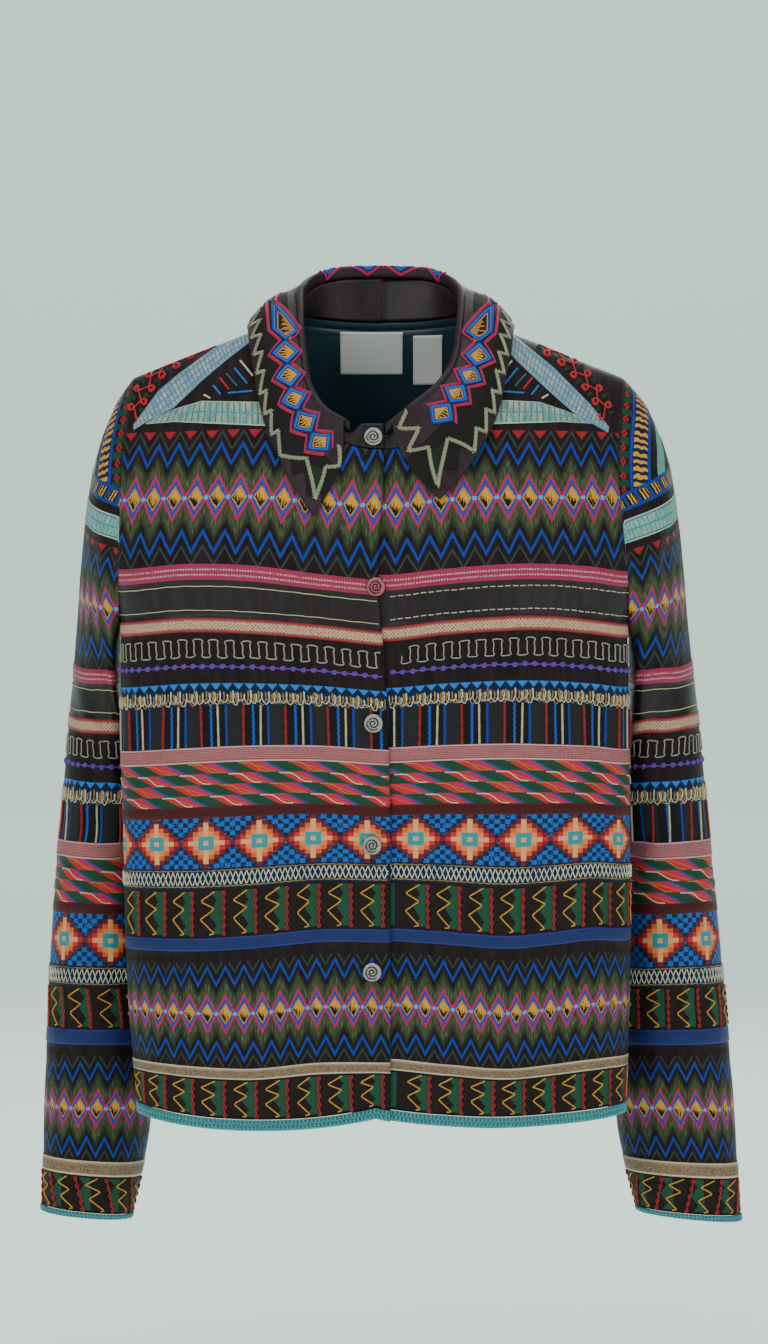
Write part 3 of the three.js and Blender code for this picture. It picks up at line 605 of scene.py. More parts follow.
def cloth_ground(name, colour=PLUM, light=PLUM_LIGHT, roughness=0.42, gloss=0.09):
    """Plum satin: fine ribs that catch the light, and slow uneven tones."""
    finish = Finish(name, colour, roughness, sheen=0.02, gloss=gloss)
    tone = finish.noise(0.16, 0.03, 3.0)
    finish.colour = finish.mixed(colour, light, (tone - 0.35) * 2.0)
    weave = finish.noise(4.0, 0.7, 1.0, 7.0)
    finish.shade(weave, 0.6, 1.4)
    finish.height = weave
    return finish


plum_satin = cloth_ground("plum_satin", gloss=0.25).done(0.35, 0.15)
brown_cloth = cloth_ground("brown_cloth", BROWN, PLUM_LIGHT, 0.55).done(0.4, 0.15)


# %% [markdown]
# ## The flame bands
#
# A flame band is mirrored about its middle. Gold and black diamonds stand in a row. Blue and magenta zigzags
# go round them, a sage flame flares out, and single blue and dark green zigzags close the band. One zigzag wave
# gives them all: each line is that wave times its own height.

# %% Flame bands
def flame_band(name, period, scale, chest):
    """The material of a flame band. v is measured from its middle."""
    finish = cloth_ground(name, BROWN, PLUM_LIGHT, 0.5)
    wobble = (finish.noise(0.35, 0.35, 2.0, 3.0) - 0.5) * (2.4 * scale)
    u = finish.u + wobble * 0.5
    high = (finish.v + wobble).size() / scale
    peak = u.peak(period)
    streak = finish.noise(1.6, 0.12, 2.0, 5.0)
    stitch = finish.noise(2.6, 0.5, 1.0, 9.0)
    if chest:
        aside = u.offset(period, period / 2).size()
        tooth = high.between(50.0, 57.0) * (aside * 1.2 + 50.0).below(high) * finish.v.above(0.0)
        finish.paint(tooth, RED, 0.9)
    faint = high.near(peak * 15.5 + 40.5, 1.5)
    finish.paint(faint, FAINT_GREEN, 0.8)
    finish.paint(high.near(peak * 17.5 + 28.0, 2.4), ROYAL, 1.3, 0.45)
    flame_edge = peak * 17.0 + (streak - 0.5) * 13.0 + 13.5
    finish.paint(high.below(flame_edge + 5.5), SAGE_DARK, 0.9)
    flame = high.below(flame_edge)
    finish.paint(flame, finish.mixed(SAGE_DARK, SAGE, (streak - 0.42) * 2.4), 1.2, 0.6)
    outer = peak * 17.5 + 3.0
    finish.paint(high.below(outer), finish.mixed(MAGENTA, SCARLET, (stitch - 0.4) * 2.0), 1.6, 0.45)
    finish.paint(high.below(outer - 4.2), finish.mixed(ROYAL, BRIGHT_BLUE, (stitch - 0.5) * 2.5), 1.9, 0.42)
    finish.paint(high.below(outer - 8.2) * peak.above(0.32), finish.mixed(MAGENTA, ROYAL, stitch), 1.4)
    finish.paint(high.below(outer - 9.6) * peak.above(0.3), BLACK, 0.9)
    waist = peak.below(0.2) * high.below(1.6)
    finish.paint(waist, SKY, 2.2)
    middle = u.offset(period).size() / (period * 0.36) + high / 10.2
    finish.paint(middle.below(1.0), finish.mixed(GOLD, SAGE, finish.number(0.35)), 1.7)
    finish.paint(middle.below(0.83), BLACK, 1.0)
    tuft = (finish.v / scale) * 0.09 + u.offset(period) * 0.05 + (streak - 0.5) * 2.6
    gold = middle.below(0.8) * tuft.above(-0.12)
    finish.paint(gold, finish.mixed(GOLD, ORANGE, (stitch - 0.45) * 1.4), 2.0, 0.4)
    finish.shade(stitch, 0.62, 1.42)
    finish.height = finish.height + stitch * 0.9 + streak * 0.5
    return finish.done(0.75, 0.45)


chest_flames = flame_band("chest_flames", 18.9, 1.0, True)
hip_flames = flame_band("hip_flames", 15.3, 0.83, False)
print("flame bands drawn")


# %% [markdown]
# ## The ribbons
#
# Woven ribbons are sewn flat on the satin. Their edges are a little raised selvedge, and the weave between them
# differs from ribbon to ribbon: dashes, chains, twill or ribs. Each gets its own short recipe on one base.

# %% Ribbons
def ribbon(name, colour, width, roughness=0.6):
    finish = Finish(name, colour, roughness, sheen=0.04)
    finish.width = width
    finish.weave = finish.noise(3.0, 3.0, 1.0)
    finish.slow = finish.noise(0.06, 0.2, 2.0, 11.0)
    finish.height = finish.weave * 0.5
    return finish


def ribbon_done(finish, edge, bump=0.8, reach=0.4):
    """Adds the selvedges and the last unevenness."""
    rim = (finish.v - finish.width / 2).size().above(finish.width / 2 - 0.9)
    finish.paint(rim, edge, 1.0)
    finish.shade(finish.weave, 0.7, 1.3)
    finish.shade(finish.slow, 0.82, 1.18)
    return finish.done(bump, reach)


rose = ribbon("rose_ribbon", ROSE, 13.2, 0.5)
for middle in (4.0, 8.6):
    broken = rose.noise(0.9, 0.5, 1.0, middle).above(0.42)
    dash = rose.u.offset(2.3, middle).size().below(0.75) * rose.v.near(middle, 0.8) * broken
    rose.paint(dash, PINK, 1.2)
rose_ribbon = ribbon_done(rose, MAGENTA)

peach = ribbon("peach_ribbon", PEACH, 12.2)
speck = peach.noise(0.55, 0.6, 3.0, 4.0)
peach.paint((speck - 0.44).above(0.0) * peach.v.near(6.1, 3.9), (0.3, 0.07, 0.06), 0.2)
chain = (peach.u.offset(3.1).size() - peach.v.offset(3.1, 6.1).size()).size().below(0.5)
peach.paint(chain * peach.v.near(6.1, 3.6), CREAM, 1.2)
peach.paint(peach.v.near(1.1, 1.2).most(peach.v.near(11.2, 1.1)), DUSTY_PINK, 0.8)
peach_ribbon = ribbon_done(peach, RED)

dusty = ribbon("dusty_pink_ribbon", DUSTY_PINK, 12.9)
rows = (dusty.v * 0.62).part()
knit = ((dusty.u * 0.8 + (rows - 0.5).size() * 1.4).part() - 0.5).size()
dusty.paint(knit.below(0.16) * dusty.v.near(6.4, 5.0), PINK, 1.0)
dusty.paint(rows.below(0.22) * dusty.v.near(6.4, 5.0), RED, 0.0)
dusty_pink_ribbon = ribbon_done(dusty, PINK)

ribbed = ribbon("dark_red_ribbon", DARK_RED, 9.2, 0.55)
rib = ((ribbed.u + ribbed.v * 0.25) / 1.9).part()
ribbed.paint(rib.below(0.35), BLACK, 0.0)
dark_red_ribbon = ribbon_done(ribbed, DARK_RED, 0.9)

twill = ribbon("blue_twill_ribbon", (0.018, 0.03, 0.16), 9.9, 0.5)
diagonal = ((twill.u * 0.55 + twill.v * 0.75 + twill.slow * 3.0) / 1.25).part()
twill.paint(diagonal.below(0.4), NAVY, 0.0)
blue_twill_ribbon = ribbon_done(twill, (0.02, 0.035, 0.2))

beige = ribbon("beige_ribbon", BEIGE, 9.3)
curl = beige.noise(0.8, 0.8, 3.0, 6.0)
beige.paint((curl - 0.5).size().below(0.045) * beige.v.near(4.2, 2.9), (0.1, 0.06, 0.05), 0.0)
beige_ribbon = ribbon_done(beige, (0.55, 0.44, 0.33))

pale = ribbon("pale_blue_ribbon", SEAFOAM, 18.2)
bar = pale.noise(0.5, 0.12, 2.0, 2.0)
pale.paint((bar - 0.45) * 4.0, PALE_BLUE, 0.8)
pale.paint(pale.u.offset(4.6).size().below(0.55) * bar.above(0.42), TEAL, 0.2)
pale.paint(pale.v.near(9.1, 0.7) * bar.above(0.4), TEAL, 0.2)
pale.paint((pale.v - 9.1).size().between(7.2, 8.2), (0.05, 0.12, 0.13), 0.2)
pale_blue_ribbon = ribbon_done(pale, PALE_BLUE)
print("ribbons drawn")


# %% [markdown]
# ## The stitched and woven bands
#
# These lie flat in the cloth: a row of bright triangles, the striped band, the slanting kites, the stepped
# diamonds on a checked ground, and the panels of green with dark between them. Their raised cords and zigzags
# are laid on later as real threads.

# %% Triangles and stripes
triangles = cloth_ground("triangle_row", NAVY, NAVY, 0.5)
point = triangles.u.offset(9.5).size() * 1.25 + 0.6
blob = triangles.noise(0.9, 0.9, 2.0)
triangles.paint((triangles.v + blob * 1.6 - 0.8).above(point), BRIGHT_BLUE, 1.6, 0.4)
triangles.shade(blob, 0.7, 1.3)
triangle_row = triangles.done(0.8, 0.4)

STRIPE_PERIOD = 35.4
stripes = cloth_ground("striped_band", (0.008, 0.006, 0.008), (0.014, 0.011, 0.013), 0.6)
slant = ((stripes.u * 0.7 + stripes.v * 0.7) / 1.5).part()
stripes.paint(slant.below(0.45) * stripes.u.offset(STRIPE_PERIOD, 14.0).size().below(7.0), (0.028, 0.028, 0.03), 0.5)
for shift, width, colour in ((6.7, 0.9, ROYAL), (29.4, 1.0, (0.008, 0.075, 0.36))):
    wave = (stripes.v * 1.3).wave() * 0.25
    line = (stripes.u.offset(STRIPE_PERIOD, shift) + wave).size().below(width)
    stripes.paint(line, colour, 1.5, 0.45)
streak = stripes.noise(0.8, 0.8, 2.0, 2.0)
stripes.shade(streak, 0.75, 1.25)
striped_band = stripes.done(0.7, 0.4)

# %% Slanting kites
KITE_PERIOD = 42.3
KITE_ROW = 9.1
KITE_SHIFT = 8.1
kites = Finish("kite_band", FOREST, 0.55, sheen=0.03)
row = ((kites.v * -1.0 + 36.4) / KITE_ROW).whole()
down = (kites.v * -1.0 + 36.4) - row * KITE_ROW
share = down / KITE_ROW
along = ((kites.u + row * KITE_SHIFT - share * (KITE_SHIFT * 2.2)) / KITE_PERIOD).part() * KITE_PERIOD
thread = kites.noise(0.5, 2.0, 2.0)
kites.paint(along.between(0.0, 23.0), (0.42, 0.02, 0.075), 1.0)
kites.paint(along.between(0.0, 11.5), SCARLET, 1.0)
glow = (along - share * 9.0 - 6.0).size().below(1.3)
kites.paint(glow, ORANGE, 1.3)
kites.paint(along.between(21.0, 25.0), (0.02, 0.06, 0.2), 0.6)
kites.shade(thread, 0.65, 1.35)
kites.height = kites.height + thread
kite_band = kites.done(0.7, 0.4)

# %% Stepped diamonds on a check
CELL_WIDE = 4.5
CELL_HIGH = 3.82
DIAMOND_PERIOD = 45.0
check = Finish("stepped_diamond_band", NAVY, 0.55, sheen=0.03)
fuzz = (check.noise(0.9, 0.3, 2.0) - 0.5) * 1.5
over = check.u.offset(DIAMOND_PERIOD) + fuzz * 0.4
rise = check.v - 21.0 + fuzz
column = (over / CELL_WIDE + 0.5).whole()
level = (rise / CELL_HIGH + 0.5).whole()
odd = ((column + level) * 0.5).part().above(0.25)
cloud = check.noise(0.3, 0.4, 2.0, 3.0)
check.paint(odd.most(cloud.above(0.6)), check.mixed(BRIGHT_BLUE, ROYAL, cloud), 0.6)
steps = column.size() + level.size()
check.paint(steps.below(5.5), (0.16, 0.012, 0.02), 0.8)
check.paint(steps.below(4.5), ORANGE, 1.0)
check.paint(steps.below(4.5) * (column.size().above(2.5)), SCARLET, 1.0)
check.paint(steps.below(3.5), (0.72, 0.2, 0.07), 1.1)
cross = (column.size().below(0.5) * level.size().below(4.5)).most(level.size().below(0.5) * column.size().below(3.5))
check.paint(cross, PEACH, 1.3)
check.paint((steps - 2.0).size().below(0.5) * column.size().near(1.0, 0.5), TEAL, 1.2)
check.paint((steps - 1.0).size().below(0.5), TEAL, 1.2)
check.paint(steps.below(0.5), PEACH, 1.4)
ikat = check.noise(2.2, 0.25, 2.0, 8.0)
check.shade(ikat, 0.55, 1.45)
check.height = check.height + ikat
stepped_diamond_band = check.done(0.7, 0.35)

# %% Green panels, braid grounds and the hem's teal
PANEL_PERIOD = 26.6
panels = cloth_ground("zigzag_panel_band", (0.012, 0.008, 0.008), (0.02, 0.013, 0.012), 0.55)
place = (panels.u / PANEL_PERIOD).part() * PANEL_PERIOD
share = (panels.v / 38.7)
left_edge = ((share * 2.0).part() - 0.5).size() * -14.0 + 14.5
green = place.between(9.0, 19.5) * place.above(left_edge) * share.between(0.07, 0.95)
nap = panels.noise(1.5, 1.5, 2.0)
panels.paint(green, panels.mixed(FOREST, (0.02, 0.085, 0.05), nap), 0.8, 0.75)
panels.shade(nap, 0.7, 1.3)
zigzag_panel_band = panels.done(0.7, 0.35)

navy_ground = cloth_ground("navy_ground", NAVY, (0.01, 0.03, 0.06), 0.6).done(0.5, 0.2)


def looped_braid(name, dark, light):
    """Braid of small loops, with a painted highlight where each loop stands up."""
    finish = Finish(name, dark, 0.7, sheen=0.06)
    wobble = (finish.noise(0.25, 0.25, 2.0) - 0.5) * 3.0
    loop_u = (finish.u + wobble).offset(3.4)
    loop_v = (finish.v + wobble * 0.6).offset(3.1, 1.5)
    # Each loop's ring is painted lighter: a painted highlight where the loop stands up.
    painted_loop_highlight = (loop_u * loop_u + loop_v * loop_v * 1.5 - 1.7).size().below(0.85)
    finish.paint(painted_loop_highlight, light, 1.4)
    grain = finish.noise(2.0, 2.0, 2.0, 4.0)
    finish.shade(grain, 0.6, 1.4)
    finish.height = finish.height + grain
    return finish.done(0.9, 0.5)


teal_braid = looped_braid("teal_braid", (0.012, 0.15, 0.19), (0.1, 0.38, 0.38))
print("woven bands drawn")


# %% [markdown]
# ## Threads, satin and metal
#
# The raised threads are real tubes, so their material only needs the twist of the yarn. The lining is a plain
# teal satin, the labels are blank white tape, and the buttons are pewter, darker in their grooves.

# %% Threads
def yarn(name, colour, roughness=0.55):
    """Thread: fine flecks of uneven tone and a soft sheen."""
    finish = Finish(name, colour, roughness, sheen=0.08)
    place = finish.tree.nodes.new("ShaderNodeTexCoord")
    noise = finish.tree.nodes.new("ShaderNodeTexNoise")
    noise.inputs["Scale"].default_value = 900
    noise.inputs["Detail"].default_value = 2
    finish.tree.links.new(place.outputs["Object"], noise.inputs["Vector"])
    fibre = Term(finish.tree, noise.outputs[0])
    finish.shade(fibre, 0.55, 1.45)
    finish.height = fibre
    return finish.done(0.5, 0.2)


YARNS = {
    "cream_thread": CREAM,
    "pale_thread": (0.6, 0.56, 0.44),
    "grey_cream_cord": GREY_CREAM,
    "gold_thread": GOLD,
    "dull_gold_thread": (0.36, 0.2, 0.05),
    "red_thread": SCARLET,
    "dark_red_thread": RED,
    "purple_thread": PURPLE,
    "royal_thread": ROYAL,
    # Bright blue serves real loose stitches, and also the painted highlight ring on the collar's diamond frames.
    "blue_thread": BRIGHT_BLUE,
    "teal_thread": (0.02, 0.12, 0.14),
    "sage_thread": (0.3, 0.32, 0.2),
    "magenta_thread": MAGENTA,
    "forest_thread": FOREST,
}
yarns = {name: yarn(name, colour) for name, colour in YARNS.items()}
print(len(yarns), "threads")

# %% Lining, labels and pewter
lining = Finish("lining_satin", (0.012, 0.034, 0.05), 0.35, gloss=0.5)
lining_weave = lining.noise(0.25, 0.02, 3.0)
lining.shade(lining_weave, 0.6, 1.4)
lining.height = lining.noise(3.0, 3.0, 1.0)
lining_satin = lining.done(0.25, 0.1)

tape = Finish("label_tape", (0.78, 0.78, 0.75), 0.7, sheen=0.1)
cross_weave = ((tape.u * 1.6).part() - 0.5).size() + ((tape.v * 1.6).part() - 0.5).size()
tape.shade(cross_weave, 0.88, 1.04)
tape.height = cross_weave
label_tape = tape.done(0.5, 0.12)


def pewter(name, colour, roughness):
    """Dull cast metal with small pits, read from where it is on the object."""
    finish = Finish(name, colour, roughness, metallic=1.0, gloss=0.5)
    place = finish.tree.nodes.new("ShaderNodeTexCoord")
    noise = finish.tree.nodes.new("ShaderNodeTexNoise")
    noise.inputs["Scale"].default_value = 420
    noise.inputs["Detail"].default_value = 5
    finish.tree.links.new(place.outputs["Object"], noise.inputs["Vector"])
    pit = Term(finish.tree, noise.outputs[0])
    finish.shade(pit, 0.6, 1.35)
    finish.roughness = finish.roughness + (pit - 0.5) * 0.4
    finish.height = pit
    return finish.done(0.6, 0.12)


pewter_metal = pewter("pewter", (0.36, 0.35, 0.32), 0.36)
dark_pewter = pewter("dark_pewter", (0.07, 0.068, 0.062), 0.55)
# The second button's rose tint is a painted reflection of its ribbon, not a colour of the metal.
pewter_with_painted_rose_reflection = pewter("pewter_with_painted_rose_reflection", (0.4, 0.13, 0.16), 0.45)
dark_pewter_with_painted_rose_reflection = pewter("dark_pewter_with_painted_rose_reflection", (0.12, 0.03, 0.045), 0.6)
print("lining, labels and metal")

# %% [markdown]
# ## The order of the bands
#
# The maker sewed one band under the other, from the shoulder to the hem. The table lists them from the top:
# where each begins and ends on the cloth, its material, and how far it stands off the satin. A band that was
# drawn about its own middle says so.

# %% Bands of the body
RIBBON_LIFT = 0.7

# name, top, bottom, material, lift, height that the pattern was drawn at, or None where v runs from the middle
BODY_BANDS = [
    ("chest", -116, -197, chest_flames, 0.0, None),
    ("rose", -197, -210.2, rose_ribbon, RIBBON_LIFT, 13.2),
    ("satin", -210.2, -241.5, plum_satin, 0.0, 31.3),
    ("peach", -241.5, -253.7, peach_ribbon, RIBBON_LIFT, 12.2),
    ("cord ground", -253.7, -296.4, brown_cloth, 0.0, 42.7),
    ("triangles", -296.4, -302.7, triangle_row, 0.0, 6.3),
    ("scribble ground", -302.7, -315.1, navy_ground, 0.3, 12.4),
    ("stripes", -315.1, -349.9, striped_band, 0.0, 34.8),
    ("dusty pink", -349.9, -362.8, dusty_pink_ribbon, RIBBON_LIFT, 12.9),
    ("kites", -362.8, -399.2, kite_band, 0.0, 36.4),
    ("dark red", -399.2, -408.4, dark_red_ribbon, 0.5, 9.2),
    ("stepped diamonds", -408.4, -450.4, stepped_diamond_band, 0.0, 42.0),
    ("braid ground", -450.4, -467.2, navy_ground, 0.3, 16.8),
    ("upper panels", -467.2, -508.0, zigzag_panel_band, 0.0, 38.7),
    ("twill", -508.0, -518.6, blue_twill_ribbon, RIBBON_LIFT, 9.9),
    ("plain", -518.6, -528.0, brown_cloth, 0.0, 9.4),
    ("hip", -528.0, -614.4, hip_flames, 0.0, None),
    ("beige", -614.4, -623.7, beige_ribbon, RIBBON_LIFT, 9.3),
    ("lower panels", -623.7, -657.7, zigzag_panel_band, 0.0, 38.7),
]
BAND_MIDDLE = {"chest": -141.8, "hip": -570.0}
# Where a pattern's repeat starts along a front, because the maker cut each front where it suited
BAND_SHIFTS = {
    "right": {"chest": -6, "stepped diamonds": -19},
    "left": {"chest": -1.1, "stepped diamonds": 8.3, "upper panels": 16.1, "lower panels": 17.8},
}
BAND_TOP = BODY_BANDS[0][1]
BAND_BOTTOM = BODY_BANDS[-1][2]

# How far the bands ride up or sag on each panel: a row for each level, a column for each place across
SAG_LEVELS = [-614.4, -508.7, -349.9, -241.5, -197, -141.8, -70]
SAG = {
    "right": ([-208.7, -156.5, -102.6, -46.3, 11.8], [
        (3.6, 0.8, -1.2, 4.6, 4.6),
        (-0.2, 0, 2.9, 8.5, 8.3),
        (-3.1, 0, 2.5, 2.5, -1.2),
        (-3.2, 0.2, -1.6, -6.1, -12),
        (-3.8, 0.2, -1.5, -8.6, -14.1),
        (-1.1, 0, 0.8, -4.6, -7.5),
        (-0.6, 0, 0.8, 0, 0),
    ]),
    "left": ([11.8, 55.7, 109.6, 145.2, 181.7, 205.8], [
        (7.5, 3.2, -0.6, 1.7, 5.3, 6.5),
        (9.1, 6.6, 2.9, 5.4, 8.8, 7.1),
        (0.8, 2.9, 4.1, 3.3, 1.7, -1.1),
        (-7.7, -2.5, 1.2, 1.6, -1.5, -4.2),
        (-9.1, -4.3, -0.2, 0.2, -2, -5.1),
        (-8, -2.3, 0.3, 0.5, 0.8, 1.8),
        (0, 0, 0, 0, 0, -0.6),
    ]),
    "back": ([-208.7, -120, 0, 120, 205.8], [
        (3.6, 1.5, -0.5, 2, 6.5),
        (-0.2, 1.5, 0.5, 3, 7.1),
        (-3.1, -1, 0.5, 0, -1.1),
        (-3.2, -1, 1, -1, -4.2),
        (-3.8, -0.5, 1.5, -0.5, -5.1),
        (-1.1, 0, 0, 1, 1.8),
        (-0.6, 0, 0, 0, -0.6),
    ]),
}


def hem_line(panel, x):
    side = np.where(x < 0, -1, 1)
    reach = np.where(x < 0, body_reach(-1, HEM_Z), body_reach(1, HEM_Z))
    along = np.clip(np.abs(x) / reach, 0, 1)
    return HEM_Z - HEM_DIP[panel] * np.sin(along * math.pi) ** 0.8


def sag(panel, x, v):
    """How far the band at height v has moved up or down at x."""
    columns, rows = SAG[panel]
    x, v = np.broadcast_arrays(np.asarray(x, float), np.asarray(v, float))
    at_hem = hem_line(panel, x) + BRAID_HEIGHT + SEAM_GAP - BAND_BOTTOM
    read = [at_hem] + [read_rows(columns, row, x) for row in rows]
    levels = np.array([BAND_BOTTOM] + SAG_LEVELS)
    stack = np.stack(read)
    i = np.clip(np.searchsorted(levels, v, side="right") - 1, 0, len(levels) - 2)
    share = np.clip((v - levels[i]) / (levels[i + 1] - levels[i]), 0, 1)
    low = np.take_along_axis(stack, i[None], 0)[0]
    high = np.take_along_axis(stack, i[None] + 1, 0)[0]
    return blend(low, high, share * share * (3 - 2 * share))


print(len(BODY_BANDS), "bands on the body")

# %% [markdown]
# ## The cloth of a panel
#
# A panel could be cut from a plane and pressed on the form by a simulation, but its bands would slide. Here the
# grid is made flat first, with one row of points along each edge of each band, and every point is then moved to
# its place on the form. Above the chest the rows crowd towards the shoulder seam, where the cloth turns over.
# The wall's thickness comes last, from Solidify, with the lining's colour inside.

# %% Columns across a panel
COLUMN_STEP = 4.0
ROW_STEP = 4.2
SHOULDER_ROWS = 40


def top_edge(panel, side, x):
    """Height of a panel's top edge: the neckline, then the shoulder seam."""
    out = np.clip((x - NECK_CENTRE_X) * side / NECK_HALF_WIDTH, 0, 1)
    if panel == "back":
        neckline = NECK_POINT_Z - (NECK_POINT_Z - BACK_NECK_Z) * (1 - out**2)
    else:
        down = np.sqrt(np.maximum(0, 1 - out ** 2.5)) ** 0.8
        neckline = blend(NECK_POINT_Z, FRONT_NECK_Z, down)
    return np.where(out < 1, neckline, ridge_height(x))


def panel_columns(panel, side, from_x):
    """Shares across a panel that are evenly spaced along the cloth."""
    fine = 1 - (1 - np.linspace(0, 1, 4000)) ** 4
    level = -361.0
    x = blend(from_x(level), side * body_reach(side, level), fine)
    y = body_y(panel, x, level, creased=False)
    length = np.concatenate([[0], np.cumsum(np.hypot(np.diff(x), np.diff(y)))])
    count = int(length[-1] / COLUMN_STEP)
    return np.interp(np.linspace(0, length[-1], count + 1), length, fine)


def column_x(side, from_x, share, z):
    return blend(from_x(z), side * body_reach(side, z), share)


def column_top(panel, side, from_x, share):
    """Where each column meets the panel's top edge, found by halving."""
    low = np.full(share.shape, FRONT_NECK_Z - 1.0)
    high = np.full(share.shape, NECK_POINT_Z + 1.0)
    for _ in range(40):
        middle = (low + high) / 2
        under = top_edge(panel, side, column_x(side, from_x, share, middle)) > middle
        low = np.where(under, middle, low)
        high = np.where(under, high, middle)
    return (low + high) / 2


# %% Rows up a panel
def band_rows(bands, middle_of):
    """Rows for each band: its v, the pattern's v, the lift and which band it is."""
    rows = []
    for index, (name, top, bottom, material, lift, drawn) in enumerate(bands):
        count = max(2, round((top - bottom) / ROW_STEP))
        step = 0.35 if lift else 0.0
        for i in range(count + 1):
            share = i / count
            v = blend(top - step, bottom + step, share)
            pattern = v - middle_of[name] if drawn is None else (1 - share) * drawn
            rows.append((v, pattern, lift, index))
    return rows


def panel_points(name, panel, side, from_x, surface):
    """A panel's grid: points, the pattern's u and v, and the band of each row. Row 0 is the top."""
    share = panel_columns(panel, side, from_x)
    columns = len(share)
    tops = column_top(panel, side, from_x, share)
    rows = band_rows(BODY_BANDS, BAND_MIDDLE)
    first = BAND_TOP + sag(name, column_x(side, from_x, share, BAND_TOP), BAND_TOP)
    x_rows, z_rows, v_rows, lifts, bands = [], [], [], [], []
    for i in range(SHOULDER_ROWS):
        t = 1 - i / SHOULDER_ROWS
        z = blend(first, tops, 1 - (1 - t) ** 2.4)
        x = column_x(side, from_x, share, z)
        z_rows.append(z)
        x_rows.append(x)
        v_rows.append(z - sag(name, x, z) - BAND_MIDDLE["chest"])
        lifts.append(0.0)
        bands.append(1)
    for v, pattern, lift, band in rows:
        z = np.full(columns, v)
        for _ in range(3):
            x = column_x(side, from_x, share, z)
            z = v + sag(name, x, v)
        z_rows.append(z)
        x_rows.append(x)
        v_rows.append(np.full(columns, pattern))
        lifts.append(lift)
        bands.append(band + 1)
    x = np.array(x_rows)
    z = np.array(z_rows)
    from_edge = np.minimum(np.arange(columns), np.arange(columns)[::-1] * 0.4)[None, :]
    lift = np.array(lifts)[:, None] * np.minimum(1, from_edge + 0.3)
    points = surface(x, z)
    step = np.linalg.norm(np.diff(points, axis=1), axis=2)
    u = np.concatenate([np.zeros((len(x), 1)), np.cumsum(step, axis=1)], axis=1)
    u[:SHOULDER_ROWS] = u[SHOULDER_ROWS]
    heights = [row[0] for row in rows]
    chart = Chart(surface, heights, x[SHOULDER_ROWS:], z[SHOULDER_ROWS:], u[SHOULDER_ROWS:])
    points = points + chart.outward(x, z) * (lift + pucker(u, z) * np.minimum(1, from_edge / 4))[..., None]
    return points, u, np.array(v_rows), bands, lifts, chart


def pucker(u, z):
    """The cloth is never quite smooth between its stitches."""
    slow = np.sin(u * 0.11 + 2.3 * np.sin(z * 0.021)) * np.sin(z * 0.07 + 1.7 * np.sin(u * 0.03))
    quick = np.sin(u * 0.53 + 3.1 * np.sin(z * 0.05)) * 0.35
    return (slow + quick) * 0.28


# %% Building a sheet of cloth
def sheet_mesh(name, points, u, v, bands, lifts, materials, outward, shifts=None):
    """A grid of cloth, with its top row first. The little step at a ribbon's edge belongs to the ribbon."""
    rows, columns = points.shape[:2]
    shifts = shifts or [0.0] * len(materials)
    bm = bmesh.new()
    bmesh.ops.create_grid(bm, x_segments=columns - 1, y_segments=rows - 1, size=1)
    bm.verts.ensure_lookup_table()
    uv = bm.loops.layers.uv.new("cloth")
    flat = points.reshape(-1, 3) * MM
    place = {}
    for vert in bm.verts:
        c = round((vert.co.x + 1) / 2 * (columns - 1))
        r = round((1 - vert.co.y) / 2 * (rows - 1))
        place[vert.index] = (r, c)
    for face in bm.faces:
        spots = [place[loop.vert.index] for loop in face.loops]
        top = min(r for r, c in spots)
        owner = top + 1 if lifts[top + 1] > lifts[top] else top
        at_step = bands[top] != bands[top + 1]
        face.material_index = bands[owner]
        face.smooth = True
        for loop, (r, c) in zip(face.loops, spots):
            loop[uv].uv = ((u[r, c] - shifts[bands[owner]]) * MM, v[owner if at_step else r, c] * MM)
    for vert in bm.verts:
        r, c = place[vert.index]
        vert.co = flat[r * columns + c]
    bmesh.ops.remove_doubles(bm, verts=bm.verts, dist=0.00005)
    bmesh.ops.dissolve_degenerate(bm, edges=bm.edges, dist=0.00002)
    face_outward(bm, outward)
    return piece_from(bm, name, *materials)


def face_outward(bm, outward):
    """Turns all the faces over if most of them look the wrong way."""
    bm.normal_update()
    total = sum(face.normal.dot(outward(face.calc_center_median())) * face.calc_area() for face in bm.faces)
    if total < 0:
        bmesh.ops.reverse_faces(bm, faces=bm.faces)


def wall(piece, thickness, inner_slots):
    """Gives a sheet its thickness, inwards, with its last material inside."""
    solid = piece.modifiers.new("wall", "SOLIDIFY")
    solid.thickness = thickness * MM
    solid.offset = -1
    solid.use_even_offset = False
    solid.material_offset = inner_slots
    solid.material_offset_rim = inner_slots
    return solid


def area_of(piece):
    """The area of a sheet's own face, in square metres, before it gets its thickness."""
    return sum(polygon.area for polygon in piece.data.polygons)


print("cloth helpers ready")

# %% [markdown]
# ## The two fronts and the back
#
# The wearer's right front laps over the left one, so the left front steps back by the thickness of the cloth
# where they meet. The back is one piece. At each side seam a band meets the same band of its neighbour.

# %% Fronts and back
band_materials = [chest_flames] + [band[3] for band in BODY_BANDS]
panel_charts = {}
panel_areas = {}
cloth_pieces = {}
FRONT_MIDDLE = Vector((0, 0.02, -0.36))


def from_middle(spot):
    return spot - Vector((0, 0.02, spot.z))


